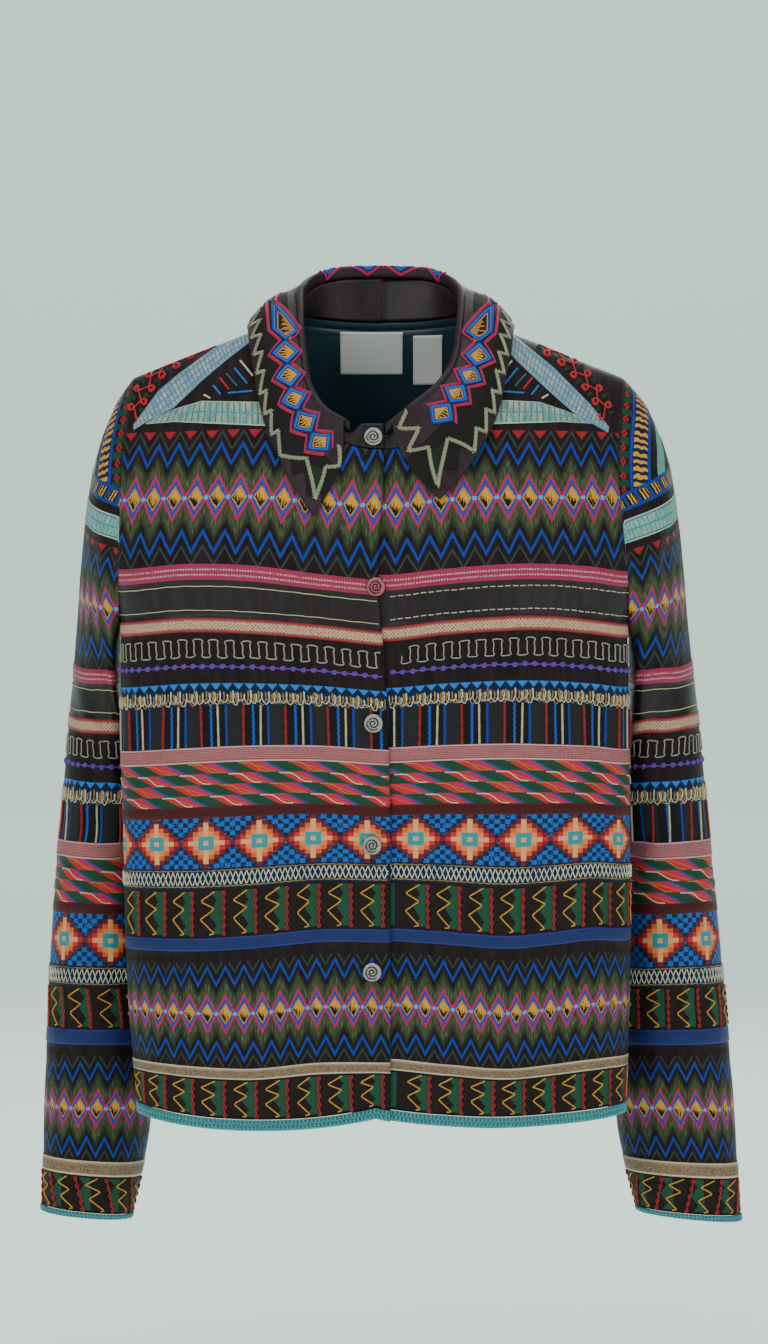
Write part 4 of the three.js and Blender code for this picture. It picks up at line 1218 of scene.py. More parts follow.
def make_front(name, side, from_x):
    surface = BodySurface("front", under_lap=side > 0)
    points, u, v, bands, lifts, chart = panel_points(name, "front", side, from_x, surface)
    inside_and_out = band_materials + [lining_satin]
    names = ["chest"] + [band[0] for band in BODY_BANDS]
    shifts = [BAND_SHIFTS[name].get(band, 0.0) for band in names]
    made = (points, side * u, v, bands, lifts, inside_and_out, from_middle, shifts)
    piece = sheet_mesh(f"front_{name}_cloth", *made)
    panel_areas[name] = area_of(piece)
    wall(piece, CLOTH - 0.2, len(band_materials))
    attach(piece, "root")
    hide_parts(f"front_{name}")
    panel_charts[name] = chart
    cloth_pieces[name] = piece
    print(piece.name, len(piece.data.polygons), "faces", round(panel_areas[name], 3), "m2")


make_front("right", -1, lap_edge)
make_front("left", 1, lambda z: np.full(np.shape(z), float(UNDERLAP_X)))


# %% Back
def half_of_back(side):
    surface = BodySurface("back")
    return panel_points("back", "back", side, lambda z: np.zeros(np.shape(z)), surface)


right_half = half_of_back(-1)
left_half = half_of_back(1)
back_points = np.concatenate([right_half[0][:, :0:-1], left_half[0]], axis=1)
back_u = np.concatenate([-right_half[1][:, :0:-1], left_half[1]], axis=1)
back_v = np.concatenate([right_half[2][:, :0:-1], left_half[2]], axis=1)
inside_and_out = band_materials + [lining_satin]
back_cloth = sheet_mesh(
    "back_cloth", back_points, back_u, back_v, left_half[3], left_half[4], inside_and_out, from_middle
)
panel_areas["back"] = area_of(back_cloth)
wall(back_cloth, CLOTH - 0.2, len(band_materials))
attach(back_cloth, "root")
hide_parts("back")
panel_charts["back_right"] = right_half[5]
panel_charts["back_left"] = left_half[5]
cloth_pieces["back"] = back_cloth
print(back_cloth.name, len(back_cloth.data.polygons), "faces", round(panel_areas["back"], 3), "m2")

# %% [markdown]
# ## The sleeves
#
# A sleeve is a tube that starts at the armhole's edge and hangs down and a little back. Its sections come from a
# table of outer and inner edges. Bands can't simply follow the sections, because these lean far over at the top.
# A band runs where its own height says, and each column of the grid is cut where it crosses that height.

# %% Sleeve sections
# From the armhole to the cuff: outer x and z, inner x and z, the middle's y, half the depth
SLEEVE_RIGHT = np.array([
    (206, -36, 214, -245, -6, 60),
    (222, -60, 217, -262, 3, 63),
    (239, -106, 218, -292, 14, 65),
    (248, -156, 215, -326, 28, 64),
    (257, -236, 208, -374, 44, 62),
    (264, -321, 202, -434, 54, 60),
    (271, -402, 198, -494, 60, 58),
    (278, -483, 196, -555, 62, 56),
    (283, -569, 195, -617, 61, 53),
    (286, -655, 195, -680, 57, 49),
    (287, -748, 211, -755, 50, 45),
])
SLEEVE_LEFT = np.array([
    (210, -36, 211, -245, -6, 60),
    (230, -60, 214, -262, 3, 63),
    (249, -106, 216, -292, 14, 65),
    (258, -156, 214, -326, 28, 64),
    (268, -236, 210, -374, 42, 62),
    (277, -321, 208, -434, 50, 60),
    (285, -402, 207, -494, 55, 58),
    (293, -483, 206, -555, 57, 56),
    (301, -569, 206, -617, 56, 53),
    (308, -655, 208, -680, 52, 49),
    (313, -757, 225, -748, 46, 45),
])
SLEEVE_ROUNDNESS = 2.2
ARMHOLE_BLEND = 0.22
SLEEVE_LENGTH = 930
CUFF_SHARE = BRAID_HEIGHT / SLEEVE_LENGTH
CUFF_GAP_SHARE = SEAM_GAP / SLEEVE_LENGTH

# Folds: along the sleeve, degrees round it from the outer edge to the front, half lengths, depth
SLEEVE_FOLDS = [(0.42, 60, 0.05, 80, -4), (0.52, 120, 0.045, 70, -4), (0.6, 250, 0.06, 80, -4), (0.86, 80, 0.05, 60, -3)]

# Narrower creases of each sleeve, not alike: along, degrees, half lengths, depth, slant
SLEEVE_CREASES = {
    -1: [
        (0.3, 70, 0.02, 40, 1.8, 0.0006), (0.36, 100, 0.016, 45, -1.8, 0.0005), (0.45, 140, 0.016, 50, 1.6, -0.0004),
        (0.48, 40, 0.014, 40, -1.7, 0.0004), (0.57, 95, 0.016, 50, -2.0, -0.0005), (0.66, 60, 0.018, 55, 1.6, 0.0004),
        (0.72, 120, 0.016, 45, -1.8, 0.0003), (0.8, 50, 0.018, 50, -1.5, -0.0003), (0.92, 110, 0.014, 45, 1.5, 0.0003),
        (0.38, 250, 0.018, 50, -1.8, 0.0004), (0.5, 220, 0.016, 45, 1.6, -0.0004), (0.7, 280, 0.02, 50, -1.8, 0.0003),
    ],
    1: [
        (0.28, 80, 0.018, 45, -1.8, 0.0005), (0.35, 50, 0.016, 40, 1.7, 0.0006), (0.41, 120, 0.015, 50, -1.7, -0.0004),
        (0.5, 75, 0.018, 45, 1.6, 0.0004), (0.55, 130, 0.016, 45, -1.9, 0.0004), (0.63, 70, 0.015, 55, -1.6, -0.0005),
        (0.7, 100, 0.018, 45, 1.8, 0.0003), (0.78, 60, 0.016, 50, -1.7, 0.0003), (0.89, 90, 0.016, 50, -1.5, -0.0003),
        (0.33, 270, 0.018, 50, 1.8, 0.0004), (0.46, 235, 0.018, 45, -1.9, -0.0004), (0.67, 255, 0.02, 50, 1.6, 0.0003),
    ],
}


class SleeveSurface:
    """The outside of a sleeve, found from the share along it and the angle round it."""

    steps = (0.0008, 0.012)

    def __init__(self, side):
        self.side = side
        self.turn = -side
        self.rows = SLEEVE_RIGHT if side < 0 else SLEEVE_LEFT

    def read(self, column, along):
        last = len(self.rows) - 1
        return read_rows(np.arange(last + 1), self.rows[:, column], np.clip(along, 0, 1) * last)

    def fold(self, along, degrees):
        total = np.zeros(np.broadcast(along, degrees).shape)
        folds = [(*row, 0.0) for row in SLEEVE_FOLDS] + SLEEVE_CREASES[self.side]
        for place, middle, half_along, half_round, depth, slant in folds:
            turn = (degrees - middle + 540) % 360 - 180
            near = ((along - place - slant * turn) / half_along) ** 2 + (turn / half_round) ** 2
            total = total + depth * np.exp(-near)
        return total

    def section(self, along, angle, folded=True):
        out = np.sign(np.cos(angle)) * np.abs(np.cos(angle)) ** (2 / SLEEVE_ROUNDNESS)
        front = np.sign(np.sin(angle)) * np.abs(np.sin(angle)) ** (2 / SLEEVE_ROUNDNESS)
        half = self.read(5, along)
        grow = 1 + (self.fold(along, np.degrees(angle)) / half if folded else 0)
        share = (1 + out * grow) / 2
        x = self.side * blend(self.read(2, along), self.read(0, along), share)
        y = self.read(4, along) - half * front * grow
        z = blend(self.read(3, along), self.read(1, along), share)
        return np.stack(np.broadcast_arrays(x, y, z), axis=-1)

    def armhole(self, angle):
        z = blend(UNDERARM_Z, TIP_Z, (1 + np.cos(angle)) / 2)
        x = self.side * body_reach(self.side, z)
        front = body_y("front", x, z, creased=False)
        back = body_y("back", x, z, creased=False)
        y = np.where(np.sin(angle) >= 0, front, back)
        return np.stack([x + self.side * SEAM_GAP, y, z], axis=-1)

    def __call__(self, along, angle):
        along, angle = np.broadcast_arrays(np.asarray(along, float), np.asarray(angle, float))
        pull = (1 - smooth(along / ARMHOLE_BLEND))[..., None]
        seam = self.armhole(angle) - self.section(np.zeros(along.shape), angle)
        return self.section(along, angle) + seam * pull


# %% Bands of the sleeves
CAP_TOP = -16
LADDER_RING = (-112.6, -129.4)

cap = cloth_ground("cap_band", BROWN, PLUM_LIGHT, 0.5)
ripple = (cap.noise(0.3, 0.3, 2.0) - 0.5) * 2.6
reach = cap.v + ripple * 0.6
rung = (cap.u + ripple + reach.wave() * 0.5).offset(7.4).size()
cap.paint(reach.between(12.0, 28.0), NAVY, 0.4)
cap.paint(rung.below(1.8) * reach.between(14.0, 26.5), cap.mixed(GOLD, ORANGE, ripple * 0.4 + 0.2), 1.3)
cap.paint(reach.near(12.0, 1.3).most(reach.near(28.2, 1.3)), ROYAL, 1.5, 0.42)
curl = (cap.u + ripple).offset(14.0).size() / 4.4 + (reach - 5.0).size() / 3.0
cap.paint(reach.between(1.5, 10.0) * curl.above(1.0) * (cap.u.offset(14.0, 7.0).size()).below(3.5), FOREST, 0.7)
cap.paint(curl.below(1.0) * curl.above(0.3), RED, 1.4)
pale_patch = reach.between(36.5, 47.0)
cap.paint(pale_patch, SEAFOAM, 0.8)
cap.paint(pale_patch * (cap.u + ripple).offset(4.6).size().below(0.6), TEAL, 0.2)
cap_grain = cap.noise(1.4, 1.4, 2.0, 3.0)
cap.shade(cap_grain, 0.55, 1.45)
cap.height = cap.height + cap_grain
cap_band = cap.done(0.8, 0.45)

ladder = cloth_ground("ladder_band", NAVY, BROWN, 0.5)
sway = (ladder.noise(0.3, 0.3, 2.0) - 0.5) * 2.0
level = ladder.v + sway * 0.5
ladder.paint(ladder.u.offset(13.0).size().below(4.2), BLACK, 0.0)
tick = (ladder.u + sway).offset(3.2).size().below(0.8)
ladder.paint(tick * ladder.u.offset(13.0).size().below(4.0) * level.between(3.2, 13.6), GOLD, 1.3)
ladder.paint(ladder.u.offset(13.0, 6.5).size().below(1.5), ROYAL, 1.2, 0.45)
ladder.paint(level.near(1.6, 1.4).most(level.near(15.2, 1.4)), ROYAL, 1.5, 0.42)
ladder_grain = ladder.noise(1.6, 1.6, 2.0, 3.0)
ladder.shade(ladder_grain, 0.55, 1.45)
ladder.height = ladder.height + ladder_grain
ladder_band = ladder.done(0.8, 0.45)

SLEEVE_BANDS = [
    ("cap", CAP_TOP, -112.6, cap_band, 0.0, 96.6),
    ("ladder", *LADDER_RING, ladder_band, 0.0, 16.8),
    ("gap", -129.4, -137.5, brown_cloth, 0.0, 8.1),
    ("pale", -137.5, -158.6, pale_blue_ribbon, 0.5, 18.2),
    ("chest", -158.6, -278.7, chest_flames, 0.0, None),
    ("rose", -278.7, -291.7, rose_ribbon, RIBBON_LIFT, 13.2),
    ("satin", -291.7, -323.5, plum_satin, 0.0, 31.3),
    ("peach", -323.5, -336.4, peach_ribbon, RIBBON_LIFT, 12.2),
    ("cord ground", -336.4, -379.5, brown_cloth, 0.0, 42.7),
    ("triangles", -379.5, -385.5, triangle_row, 0.0, 6.3),
    ("scribble ground", -385.5, -399.3, navy_ground, 0.3, 12.4),
    ("stripes", -399.3, -432.0, striped_band, 0.0, 34.8),
    ("dusty pink", -432.0, -445.8, dusty_pink_ribbon, RIBBON_LIFT, 12.9),
    ("kites", -445.8, -483.7, kite_band, 0.0, 36.4),
    ("dark red", -483.7, -492.7, dark_red_ribbon, 0.5, 9.2),
    ("stepped diamonds", -492.7, -537.0, stepped_diamond_band, 0.0, 42.0),
    ("braid ground", -537.0, -554.3, navy_ground, 0.3, 16.8),
    ("upper panels", -554.3, -591.3, zigzag_panel_band, 0.0, 38.7),
    ("twill", -591.3, -604.2, blue_twill_ribbon, RIBBON_LIFT, 9.9),
    ("plain", -604.2, -613.7, brown_cloth, 0.0, 9.4),
    ("hip", -613.7, -699.8, hip_flames, 0.0, None),
    ("beige", -699.8, -711.8, beige_ribbon, RIBBON_LIFT, 9.3),
    ("lower panels", -711.8, -742.0, zigzag_panel_band, 0.0, 38.7),
]
SLEEVE_MIDDLE = {"chest": -222.8, "hip": -657.6}
SLEEVE_BOTTOM = SLEEVE_BANDS[-1][2]
SLANT_LEVELS = [-800, -480, -400, -340, -280, -155, -130, -40]
SLANTS = [0, 0.03, 0.08, 0.13, 0.17, 0.42, 0.5, 0.6]
SLANT_FROM_X = 240
SLEEVE_COLUMNS = 84
ARM_RADIUS = 75


def sleeve_height(surface, along, angle):
    """The band height of a place on a sleeve. Bands rise to the outside and drop at the front."""
    points = surface.section(along, angle, folded=False)
    pull = (1 - smooth(along / ARMHOLE_BLEND))[..., None]
    points = points + (surface.armhole(angle) - surface.section(np.zeros(along.shape), angle, folded=False)) * pull
    x, y, z = points[..., 0], points[..., 1], points[..., 2]
    slant = read_rows(SLANT_LEVELS, SLANTS, z)
    lean = 0.16 * smooth((z + 420) / 300)
    return z - slant * (np.abs(x) - SLANT_FROM_X) - lean * (y - surface.read(4, along))


# %% Sleeve cloth
def sleeve_points(side):
    surface = SleeveSurface(side)
    angle = np.linspace(-math.pi, math.pi, SLEEVE_COLUMNS + 1)
    end = 1 - CUFF_SHARE - CUFF_GAP_SHARE
    along = np.linspace(0, end, 900)
    grid_along, grid_angle = np.meshgrid(along, angle, indexing="ij")
    height = sleeve_height(surface, grid_along, grid_angle)
    height = height + (SLEEVE_BOTTOM - height[-1:]) * smooth((grid_along - end + 0.15) / 0.15)
    height = np.minimum.accumulate(height, axis=0)
    rows = band_rows(SLEEVE_BANDS, SLEEVE_MIDDLE)
    cut = np.array([
        [np.interp(-v, -height[:, c], along) for c in range(len(angle))] for v, _, _, _ in rows
    ])
    angles = np.broadcast_to(angle, cut.shape)
    points = surface(cut, angles)
    step = np.linalg.norm(np.diff(points, axis=1), axis=2)
    u = np.concatenate([np.zeros((len(rows), 1)), np.cumsum(step, axis=1)], axis=1)
    u = u - u[:, len(angle) // 2][:, None]
    v = np.repeat(np.array([row[1] for row in rows])[:, None], len(angle), axis=1)
    in_cap = np.array([row[3] for row in rows]) == 0
    seam = surface.armhole(np.linspace(-math.pi, math.pi, 361))
    seam_length = np.concatenate([[0], np.cumsum(np.linalg.norm(np.diff(seam, axis=0), axis=1))])
    from_seam = np.linalg.norm(points[in_cap][:, :, None] - seam[None, None], axis=-1)
    u[in_cap] = seam_length[from_seam.argmin(axis=-1)] - seam_length[180]
    v[in_cap] = from_seam.min(axis=-1)
    lifts = [row[2] for row in rows]
    bands = [row[3] for row in rows]
    full = (cut > 0).all(axis=1) & ~in_cap
    shifted = u[full] - u[full][:, :1]
    chart = Chart(surface, [rows[i][0] for i in np.flatnonzero(full)], cut[full], angles[full], shifted)
    chart.outer = float(-u[full][:, 0].mean())
    lift = np.array(lifts)[:, None] * (cut > 0.004)
    ripple = pucker(u, points[..., 2]) * smooth(cut * 25) * np.minimum(1, (math.pi - np.abs(angles)) * 3)
    points = points + chart.outward(cut, angles) * (lift + ripple)[..., None]
    return points, u, v, bands, lifts, chart


sleeve_charts = {}
sleeve_materials = [band[3] for band in SLEEVE_BANDS] + [lining_satin]
for name, side in (("right", -1), ("left", 1)):
    points, u, v, bands, lifts, chart = sleeve_points(side)
    middle_x = side * 240 * MM
    outward = lambda spot, x=middle_x: Vector((spot.x - x, spot.y - 0.03, 0))
    piece = sheet_mesh(f"sleeve_{name}_cloth", points, -side * u, v, bands, lifts, sleeve_materials, outward)
    panel_areas[f"sleeve_{name}"] = area_of(piece)
    wall(piece, CLOTH - 0.2, len(sleeve_materials))
    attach(piece, "root")
    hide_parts(f"sleeve_{name}")
    sleeve_charts[name] = chart
    cloth_pieces[f"sleeve_{name}"] = piece
    print(piece.name, len(piece.data.polygons), "faces", round(panel_areas[f"sleeve_{name}"], 3), "m2")
# %% [markdown]
# ## Threads that are really there
#
# Cords, knots and twisted threads stand off the cloth by about a millimetre, and their little shadows are what
# makes embroidery look stitched. Painting them would lose that, so they are laid as thin tubes. Each path is
# collected with its yarn first, and then all the paths of one piece are bevelled together as curves and turned
# into a mesh. Four sides are enough for a tube that is a millimetre thick.

# %% Laying threads
class Stitching:
    """Collects the threads of one piece and makes them tubes at the end."""

    def __init__(self, name):
        self.name = name
        self.paths = {}

    def lay(self, yarn, radius, path):
        """Adds one thread along a path of points in millimetres."""
        if len(path) > 1:
            self.paths.setdefault((yarn, radius), []).append(np.asarray(path))

    def twist(self, yarn, radius, path, pitch=4.0):
        """Adds a thread of two strands that wind round each other."""
        path = spaced(path, pitch / 4)
        if len(path) < 3:
            return
        ahead = np.gradient(path, axis=0)
        ahead /= np.maximum(np.linalg.norm(ahead, axis=1, keepdims=True), 1e-9)
        side = np.cross(ahead, (0.0, 1.0, 0.0))
        side /= np.maximum(np.linalg.norm(side, axis=1, keepdims=True), 1e-9)
        up = np.cross(side, ahead)
        turn = np.arange(len(path)) * (math.pi / 2)
        around = side * np.cos(turn)[:, None] + up * np.sin(turn)[:, None]
        for way in (1, -1):
            self.lay(yarn, radius * 0.6, path + around * (way * radius * 0.55))

    def tube(self, radius, paths):
        """One mesh of tubes, all of one radius."""
        curve = bpy.data.curves.new("thread", "CURVE")
        curve.dimensions = "3D"
        curve.bevel_depth = radius * MM
        curve.bevel_resolution = 0
        curve.use_fill_caps = True
        for path in paths:
            spline = curve.splines.new("POLY")
            spline.points.add(len(path) - 1)
            flat = np.concatenate([path * MM, np.ones((len(path), 1))], axis=1)
            spline.points.foreach_set("co", flat.ravel())
        holder = bpy.data.objects.new("thread", curve)
        bpy.context.collection.objects.link(holder)
        look = bpy.context.evaluated_depsgraph_get()
        mesh = bpy.data.meshes.new_from_object(holder.evaluated_get(look))
        bpy.data.objects.remove(holder)
        bpy.data.curves.remove(curve)
        return mesh

    def made(self):
        """The finished piece, riding on the jacket."""
        bm = bmesh.new()
        materials = []
        for (yarn, radius), paths in self.paths.items():
            if yarn not in materials:
                materials.append(yarn)
            mesh = self.tube(radius, paths)
            before = len(bm.faces)
            bm.from_mesh(mesh)
            bm.faces.ensure_lookup_table()
            for face in bm.faces[before:]:
                face.material_index = materials.index(yarn)
                face.smooth = True
            bpy.data.meshes.remove(mesh)
        piece = piece_from(bm, self.name, *(yarns[yarn] for yarn in materials))
        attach(piece, "root")
        print(piece.name, sum(len(polygon.vertices) - 2 for polygon in piece.data.polygons), "triangles")
        return piece


def spaced(path, step):
    """The same path with its points a step apart."""
    path = np.asarray(path, float)
    length = np.concatenate([[0], np.cumsum(np.linalg.norm(np.diff(path, axis=0), axis=1))])
    count = max(2, int(length[-1] / step) + 1)
    where = np.linspace(0, length[-1], count)
    return np.stack([np.interp(where, length, path[:, axis]) for axis in range(path.shape[1])], axis=1)


class Bench:
    """A stretch of cloth that threads are laid on, by length along it and height up it."""

    def __init__(self, chart, stitching, start, end, zero=0.0, way=1):
        self.chart = chart
        self.stitching = stitching
        self.start = start
        self.end = end
        self.zero = zero
        self.way = way

    def lay(self, yarn, radius, line, lift, twisted=None):
        """Lays a line of (u, v) pairs. Only the stretch that lies on the cloth is laid."""
        line = np.asarray(line, float)
        u = self.zero + self.way * line[:, 0]
        fits = (u > self.start) & (u < self.end)
        if fits.sum() < 2:
            return
        lift = np.broadcast_to(lift, u.shape)[fits]
        path = self.chart.place(u[fits], line[fits, 1], lift)
        if twisted:
            self.stitching.twist(yarn, radius, path, twisted)
        else:
            self.stitching.lay(yarn, radius, path)

    def marks(self, period, shift=0.0):
        """The places along the pattern where a repeat falls on this cloth."""
        reach = sorted(((self.start - self.zero) * self.way, (self.end - self.zero) * self.way))
        first = math.ceil((reach[0] - shift) / period)
        last = math.floor((reach[1] - shift) / period)
        return [shift + i * period for i in range(first, last + 1)]


# %% [markdown]
# ## The threads of the bands
#
# A body band and its sleeve band hold the same threads, but the sleeve's are a little further apart. So each
# kind of thread is a short recipe that takes the top and bottom of its band, and the recipes are run over every
# piece of cloth. Small uneven shifts come from sines, so that no two stitches match and yet nothing is random.

# %% Recipes for the threads
OMEGA_PERIOD = 13.9
KNOT_PERIOD = 8.5
LOOP_PERIOD = 5.0
CROSS_PERIOD = 4.6


def uneven(place, size=1.0):
    return size * (0.6 * np.sin(place * 1.7 + 0.4) + 0.4 * np.sin(place * 0.53 + 2.0))


def cream_line(bench, v, dashed):
    if not dashed:
        u = np.arange(-260, 260, 3.0)
        bench.lay("cream_thread", 0.42, np.stack([u, v + uneven(u * 0.2, 0.25)], 1), 0.25)
        return
    for u in bench.marks(6.4):
        dash = np.linspace(u, u + 4.6, 3)
        bench.lay("cream_thread", 0.45, np.stack([dash, v + uneven(dash * 0.2, 0.3)], 1), 0.25)


def omega_cord(bench, top, bottom):
    """A cord that swings up and down in round-cornered keyholes."""
    high = top - bottom
    # Shares of the period along, and shares of the height up
    half = [(u, v) for u, v in ((0.0, 0.5), (0.02, 0.2), (-0.07, 0.08), (0.02, 0.0), (0.25, -0.02), (0.48, 0.0))]
    half += [(0.57, 0.08), (0.48, 0.2), (0.5, 0.5)]
    line = []
    for start in bench.marks(OMEGA_PERIOD):
        for u, v in half:
            line.append((start + u * OMEGA_PERIOD, bottom + v * high))
        for u, v in half[1:-1]:
            line.append((start + (0.5 + u) * OMEGA_PERIOD, bottom + (1 - v) * high))
    line = np.array(line)
    line[:, 1] += uneven(line[:, 0] * 0.23, 0.5)
    line[:, 0] += uneven(line[:, 0] * 0.31, 0.4)
    bench.lay("grey_cream_cord", 0.58, rounded(line, 1), 0.45)


def rounded(line, rounds=2):
    """Cuts the corners of a line, as a soft cord does."""
    line = np.asarray(line, float)
    for _ in range(rounds):
        near = line[:-1] * 0.75 + line[1:] * 0.25
        far = line[:-1] * 0.25 + line[1:] * 0.75
        middle = np.stack([near, far], axis=1).reshape(-1, line.shape[1])
        line = np.concatenate([line[:1], middle, line[-1:]])
    return line


def purple_knots(bench, v):
    """French knots on a thin line of their own thread."""
    u = np.arange(-260, 260, 2.5)
    bench.lay("purple_thread", 0.55, np.stack([u, v + 0 * u], 1), 0.2)
    for middle in bench.marks(KNOT_PERIOD):
        centre = v + uneven(middle, 0.5)
        turn = np.linspace(0, 4.4 * math.pi, 12)
        coil = 2.3 - turn * 0.11
        knot = np.stack([middle + coil * np.cos(turn), centre + coil * 0.85 * np.sin(turn)], 1)
        bench.lay("purple_thread", 0.85, knot, 0.3 + turn * 0.06)


def scribble_braid(bench, top, bottom):
    """Cream and gold loops that lean and cross like quick handwriting."""
    middle = (top + bottom) / 2
    high = (top - bottom) * 0.46
    for yarn, shift, radius in (("pale_thread", 0.0, 0.5), ("dull_gold_thread", 2.3, 0.48)):
        u = np.arange(-262, 262, 0.8)
        turn = (u + shift) * (2 * math.pi / LOOP_PERIOD)
        grow = 1 + 0.28 * np.sin(u * 0.43 + shift)
        line_u = u + 1.7 * np.cos(turn) + 0.7 * np.sin(u * 0.37)
        line_v = middle + high * np.sin(turn) * grow * 0.86 + 0.9 * np.sin(u * 0.71 + shift)
        bench.lay(yarn, radius, np.stack([line_u, line_v], 1), 0.55 + 0.4 * np.cos(turn))


def crossed_braid(bench, top, bottom):
    """A row of small crosses between two edge lines."""
    for start in bench.marks(CROSS_PERIOD):
        tilt = uneven(start, 0.5)
        low = bottom + 3.0 + uneven(start * 1.3, 0.4)
        high = top - 3.0 + uneven(start * 0.7, 0.4)
        for left, right, lift in ((low, high, 0.3), (high, low, 0.8)):
            line = np.stack([np.linspace(start + tilt, start + 4.2, 4), np.linspace(left, right, 4)], 1)
            bench.lay("pale_thread", 0.48, line, lift)
    for v in (bottom + 1.9, top - 1.9):
        u = np.arange(-262, 262, 2.2)
        bench.lay("dull_gold_thread", 0.42, np.stack([u, v + 0.35 * np.sin(u * 1.9)], 1), 0.3)


def stripe_threads(bench, top, bottom, zero=0.0):
    """Upright twisted threads: cream, then red, between the painted blue ones."""
    for yarn, shift, radius in (("cream_thread", 0.0, 1.0), ("dark_red_thread", 21.0, 1.2)):
        for u in bench.marks(STRIPE_PERIOD, shift + zero):
            v = np.linspace(top - 0.5, bottom + 0.5, 14)
            lean = uneven(u, 0.8) * (v - bottom) / (top - bottom)
            bench.lay(yarn, radius, np.stack([u + lean, v], 1), 0.5, twisted=4.0)


def kite_outlines(bench, top, bottom, zero=0.0):
    """A cream thread over each kite's end, then down its slant."""
    row_high = (top - bottom) / 4
    for row in range(4):
        high = top - row * row_high
        low = high - row_high
        for start in bench.marks(KITE_PERIOD, -row * KITE_SHIFT + zero):
            slope = KITE_SHIFT * 2.2
            line = [(start + 1, high - 0.8), (start + 9.5, high - 0.9), (start + 12.5, high - 1.4)]
            line += [(start + slope + 3.0, low + 0.9), (start + slope + 10.5, low + 0.5)]
            bench.lay("pale_thread" if row % 2 else "dull_gold_thread", 0.46, spaced(rounded(line, 1), 2.5), 0.3)


def zigzag_cells(bench, top, bottom, zero=0.0):
    """In each cell a gold thread goes left and right and ends in a hook. A column of red knots closes it."""
    high = top - bottom
    shares = (0.06, 0.25, 0.41, 0.62, 0.92)
    for cell, start in enumerate(bench.marks(PANEL_PERIOD, zero)):
        left = start + 1.5 + uneven(cell * 1.9, 0.8)
        right = start + 13.2 + uneven(cell * 2.3, 0.8)
        line = []
        for i, share in enumerate(shares):
            u = right if i % 2 == 0 else left
            line.append((u, top - high * share))
        line.append((right - 4.2, top - high * (shares[-1] + 0.01)))
        bench.lay("gold_thread", 0.62, spaced(line, 2.6), 0.4, twisted=2.6)
        column = start + 20.6
        count = 6 if high > 36 else 5
        for i in range(count):
            v = top - high * (0.1 + 0.82 * i / (count - 1))
            turn = np.linspace(0, 3.6 * math.pi, 10)
            knot = np.stack([column + 1.25 * np.cos(turn), v + 1.5 * np.sin(turn)], 1)
            bench.lay("dark_red_thread", 0.8, knot, 0.3 + turn * 0.06)
        strand = np.linspace(top - 2, bottom + 2, 12)
        bench.lay("red_thread", 0.5, np.stack([column + 0.9 * np.sin(strand * 0.9), strand], 1), 0.4)


# Band name to top and bottom, for the body and for the sleeves
def band_edges(bands):
    return {name: (top, bottom) for name, top, bottom, _, _, _ in bands}


def work_bands(bench, bands, dashed=False, shifts=None):
    """Runs every recipe over one piece of cloth."""
    edges = band_edges(bands)
    shifts = shifts or {}
    top, bottom = edges["satin"]
    high = top - bottom
    cream_line(bench, top - high * 0.17, dashed)
    cream_line(bench, bottom + high * 0.195, dashed)
    top, bottom = edges["cord ground"]
    high = top - bottom
    omega_cord(bench, top - high * 0.15, bottom + high * 0.515)
    purple_knots(bench, bottom + high * 0.33)
    scribble_braid(bench, *edges["scribble ground"])
    stripe_threads(bench, *edges["stripes"])
    kite_outlines(bench, *edges["kites"])
    crossed_braid(bench, *edges["braid ground"])
    zigzag_cells(bench, *edges["upper panels"], shifts.get("upper panels", 0))
    zigzag_cells(bench, *edges["lower panels"], shifts.get("lower panels", 0))


# %% Threads of the fronts and the back
body_benches = {}
for name, panels in {"front_right": ["right"], "front_left": ["left"], "back": ["back_right", "back_left"]}.items():
    stitching = Stitching(f"{name}_threads")
    for panel in panels:
        chart = panel_charts[panel]
        way = -1 if panel in ("right", "back_right") else 1
        start = {"right": 1.5, "left": 30.5}.get(panel, 0.3)
        bench = Bench(chart, stitching, start, chart.reach - 3.0, 0.0, way)
        work_bands(bench, BODY_BANDS, panel == "left", BAND_SHIFTS.get(panel))
        body_benches[panel] = bench
    body_benches[name] = stitching

# %% Threads of the sleeves
for name, way in (("right", 1), ("left", -1)):
    stitching = Stitching(f"sleeve_{name}_threads")
    chart = sleeve_charts[name]
    bench = Bench(chart, stitching, 2.0, chart.reach - 2.0, chart.outer, way)
    work_bands(bench, SLEEVE_BANDS)
    body_benches[f"sleeve_{name}"] = stitching
    stitching.made()
print("bands stitched")
# %% [markdown]
# ## The collar
#
# A shirt collar is two pieces: a stand that rises from the neck seam, and a fall that rolls over the stand's top
# and lies down on the shoulders. It could be cut flat and folded over, but its points have to lie exactly where
# they do on a worn jacket. So its fold line and its free edge are given at ten places from the nape to each
# front corner, and the cloth is run between them: up from the edge, round the roll and down inside the neck.

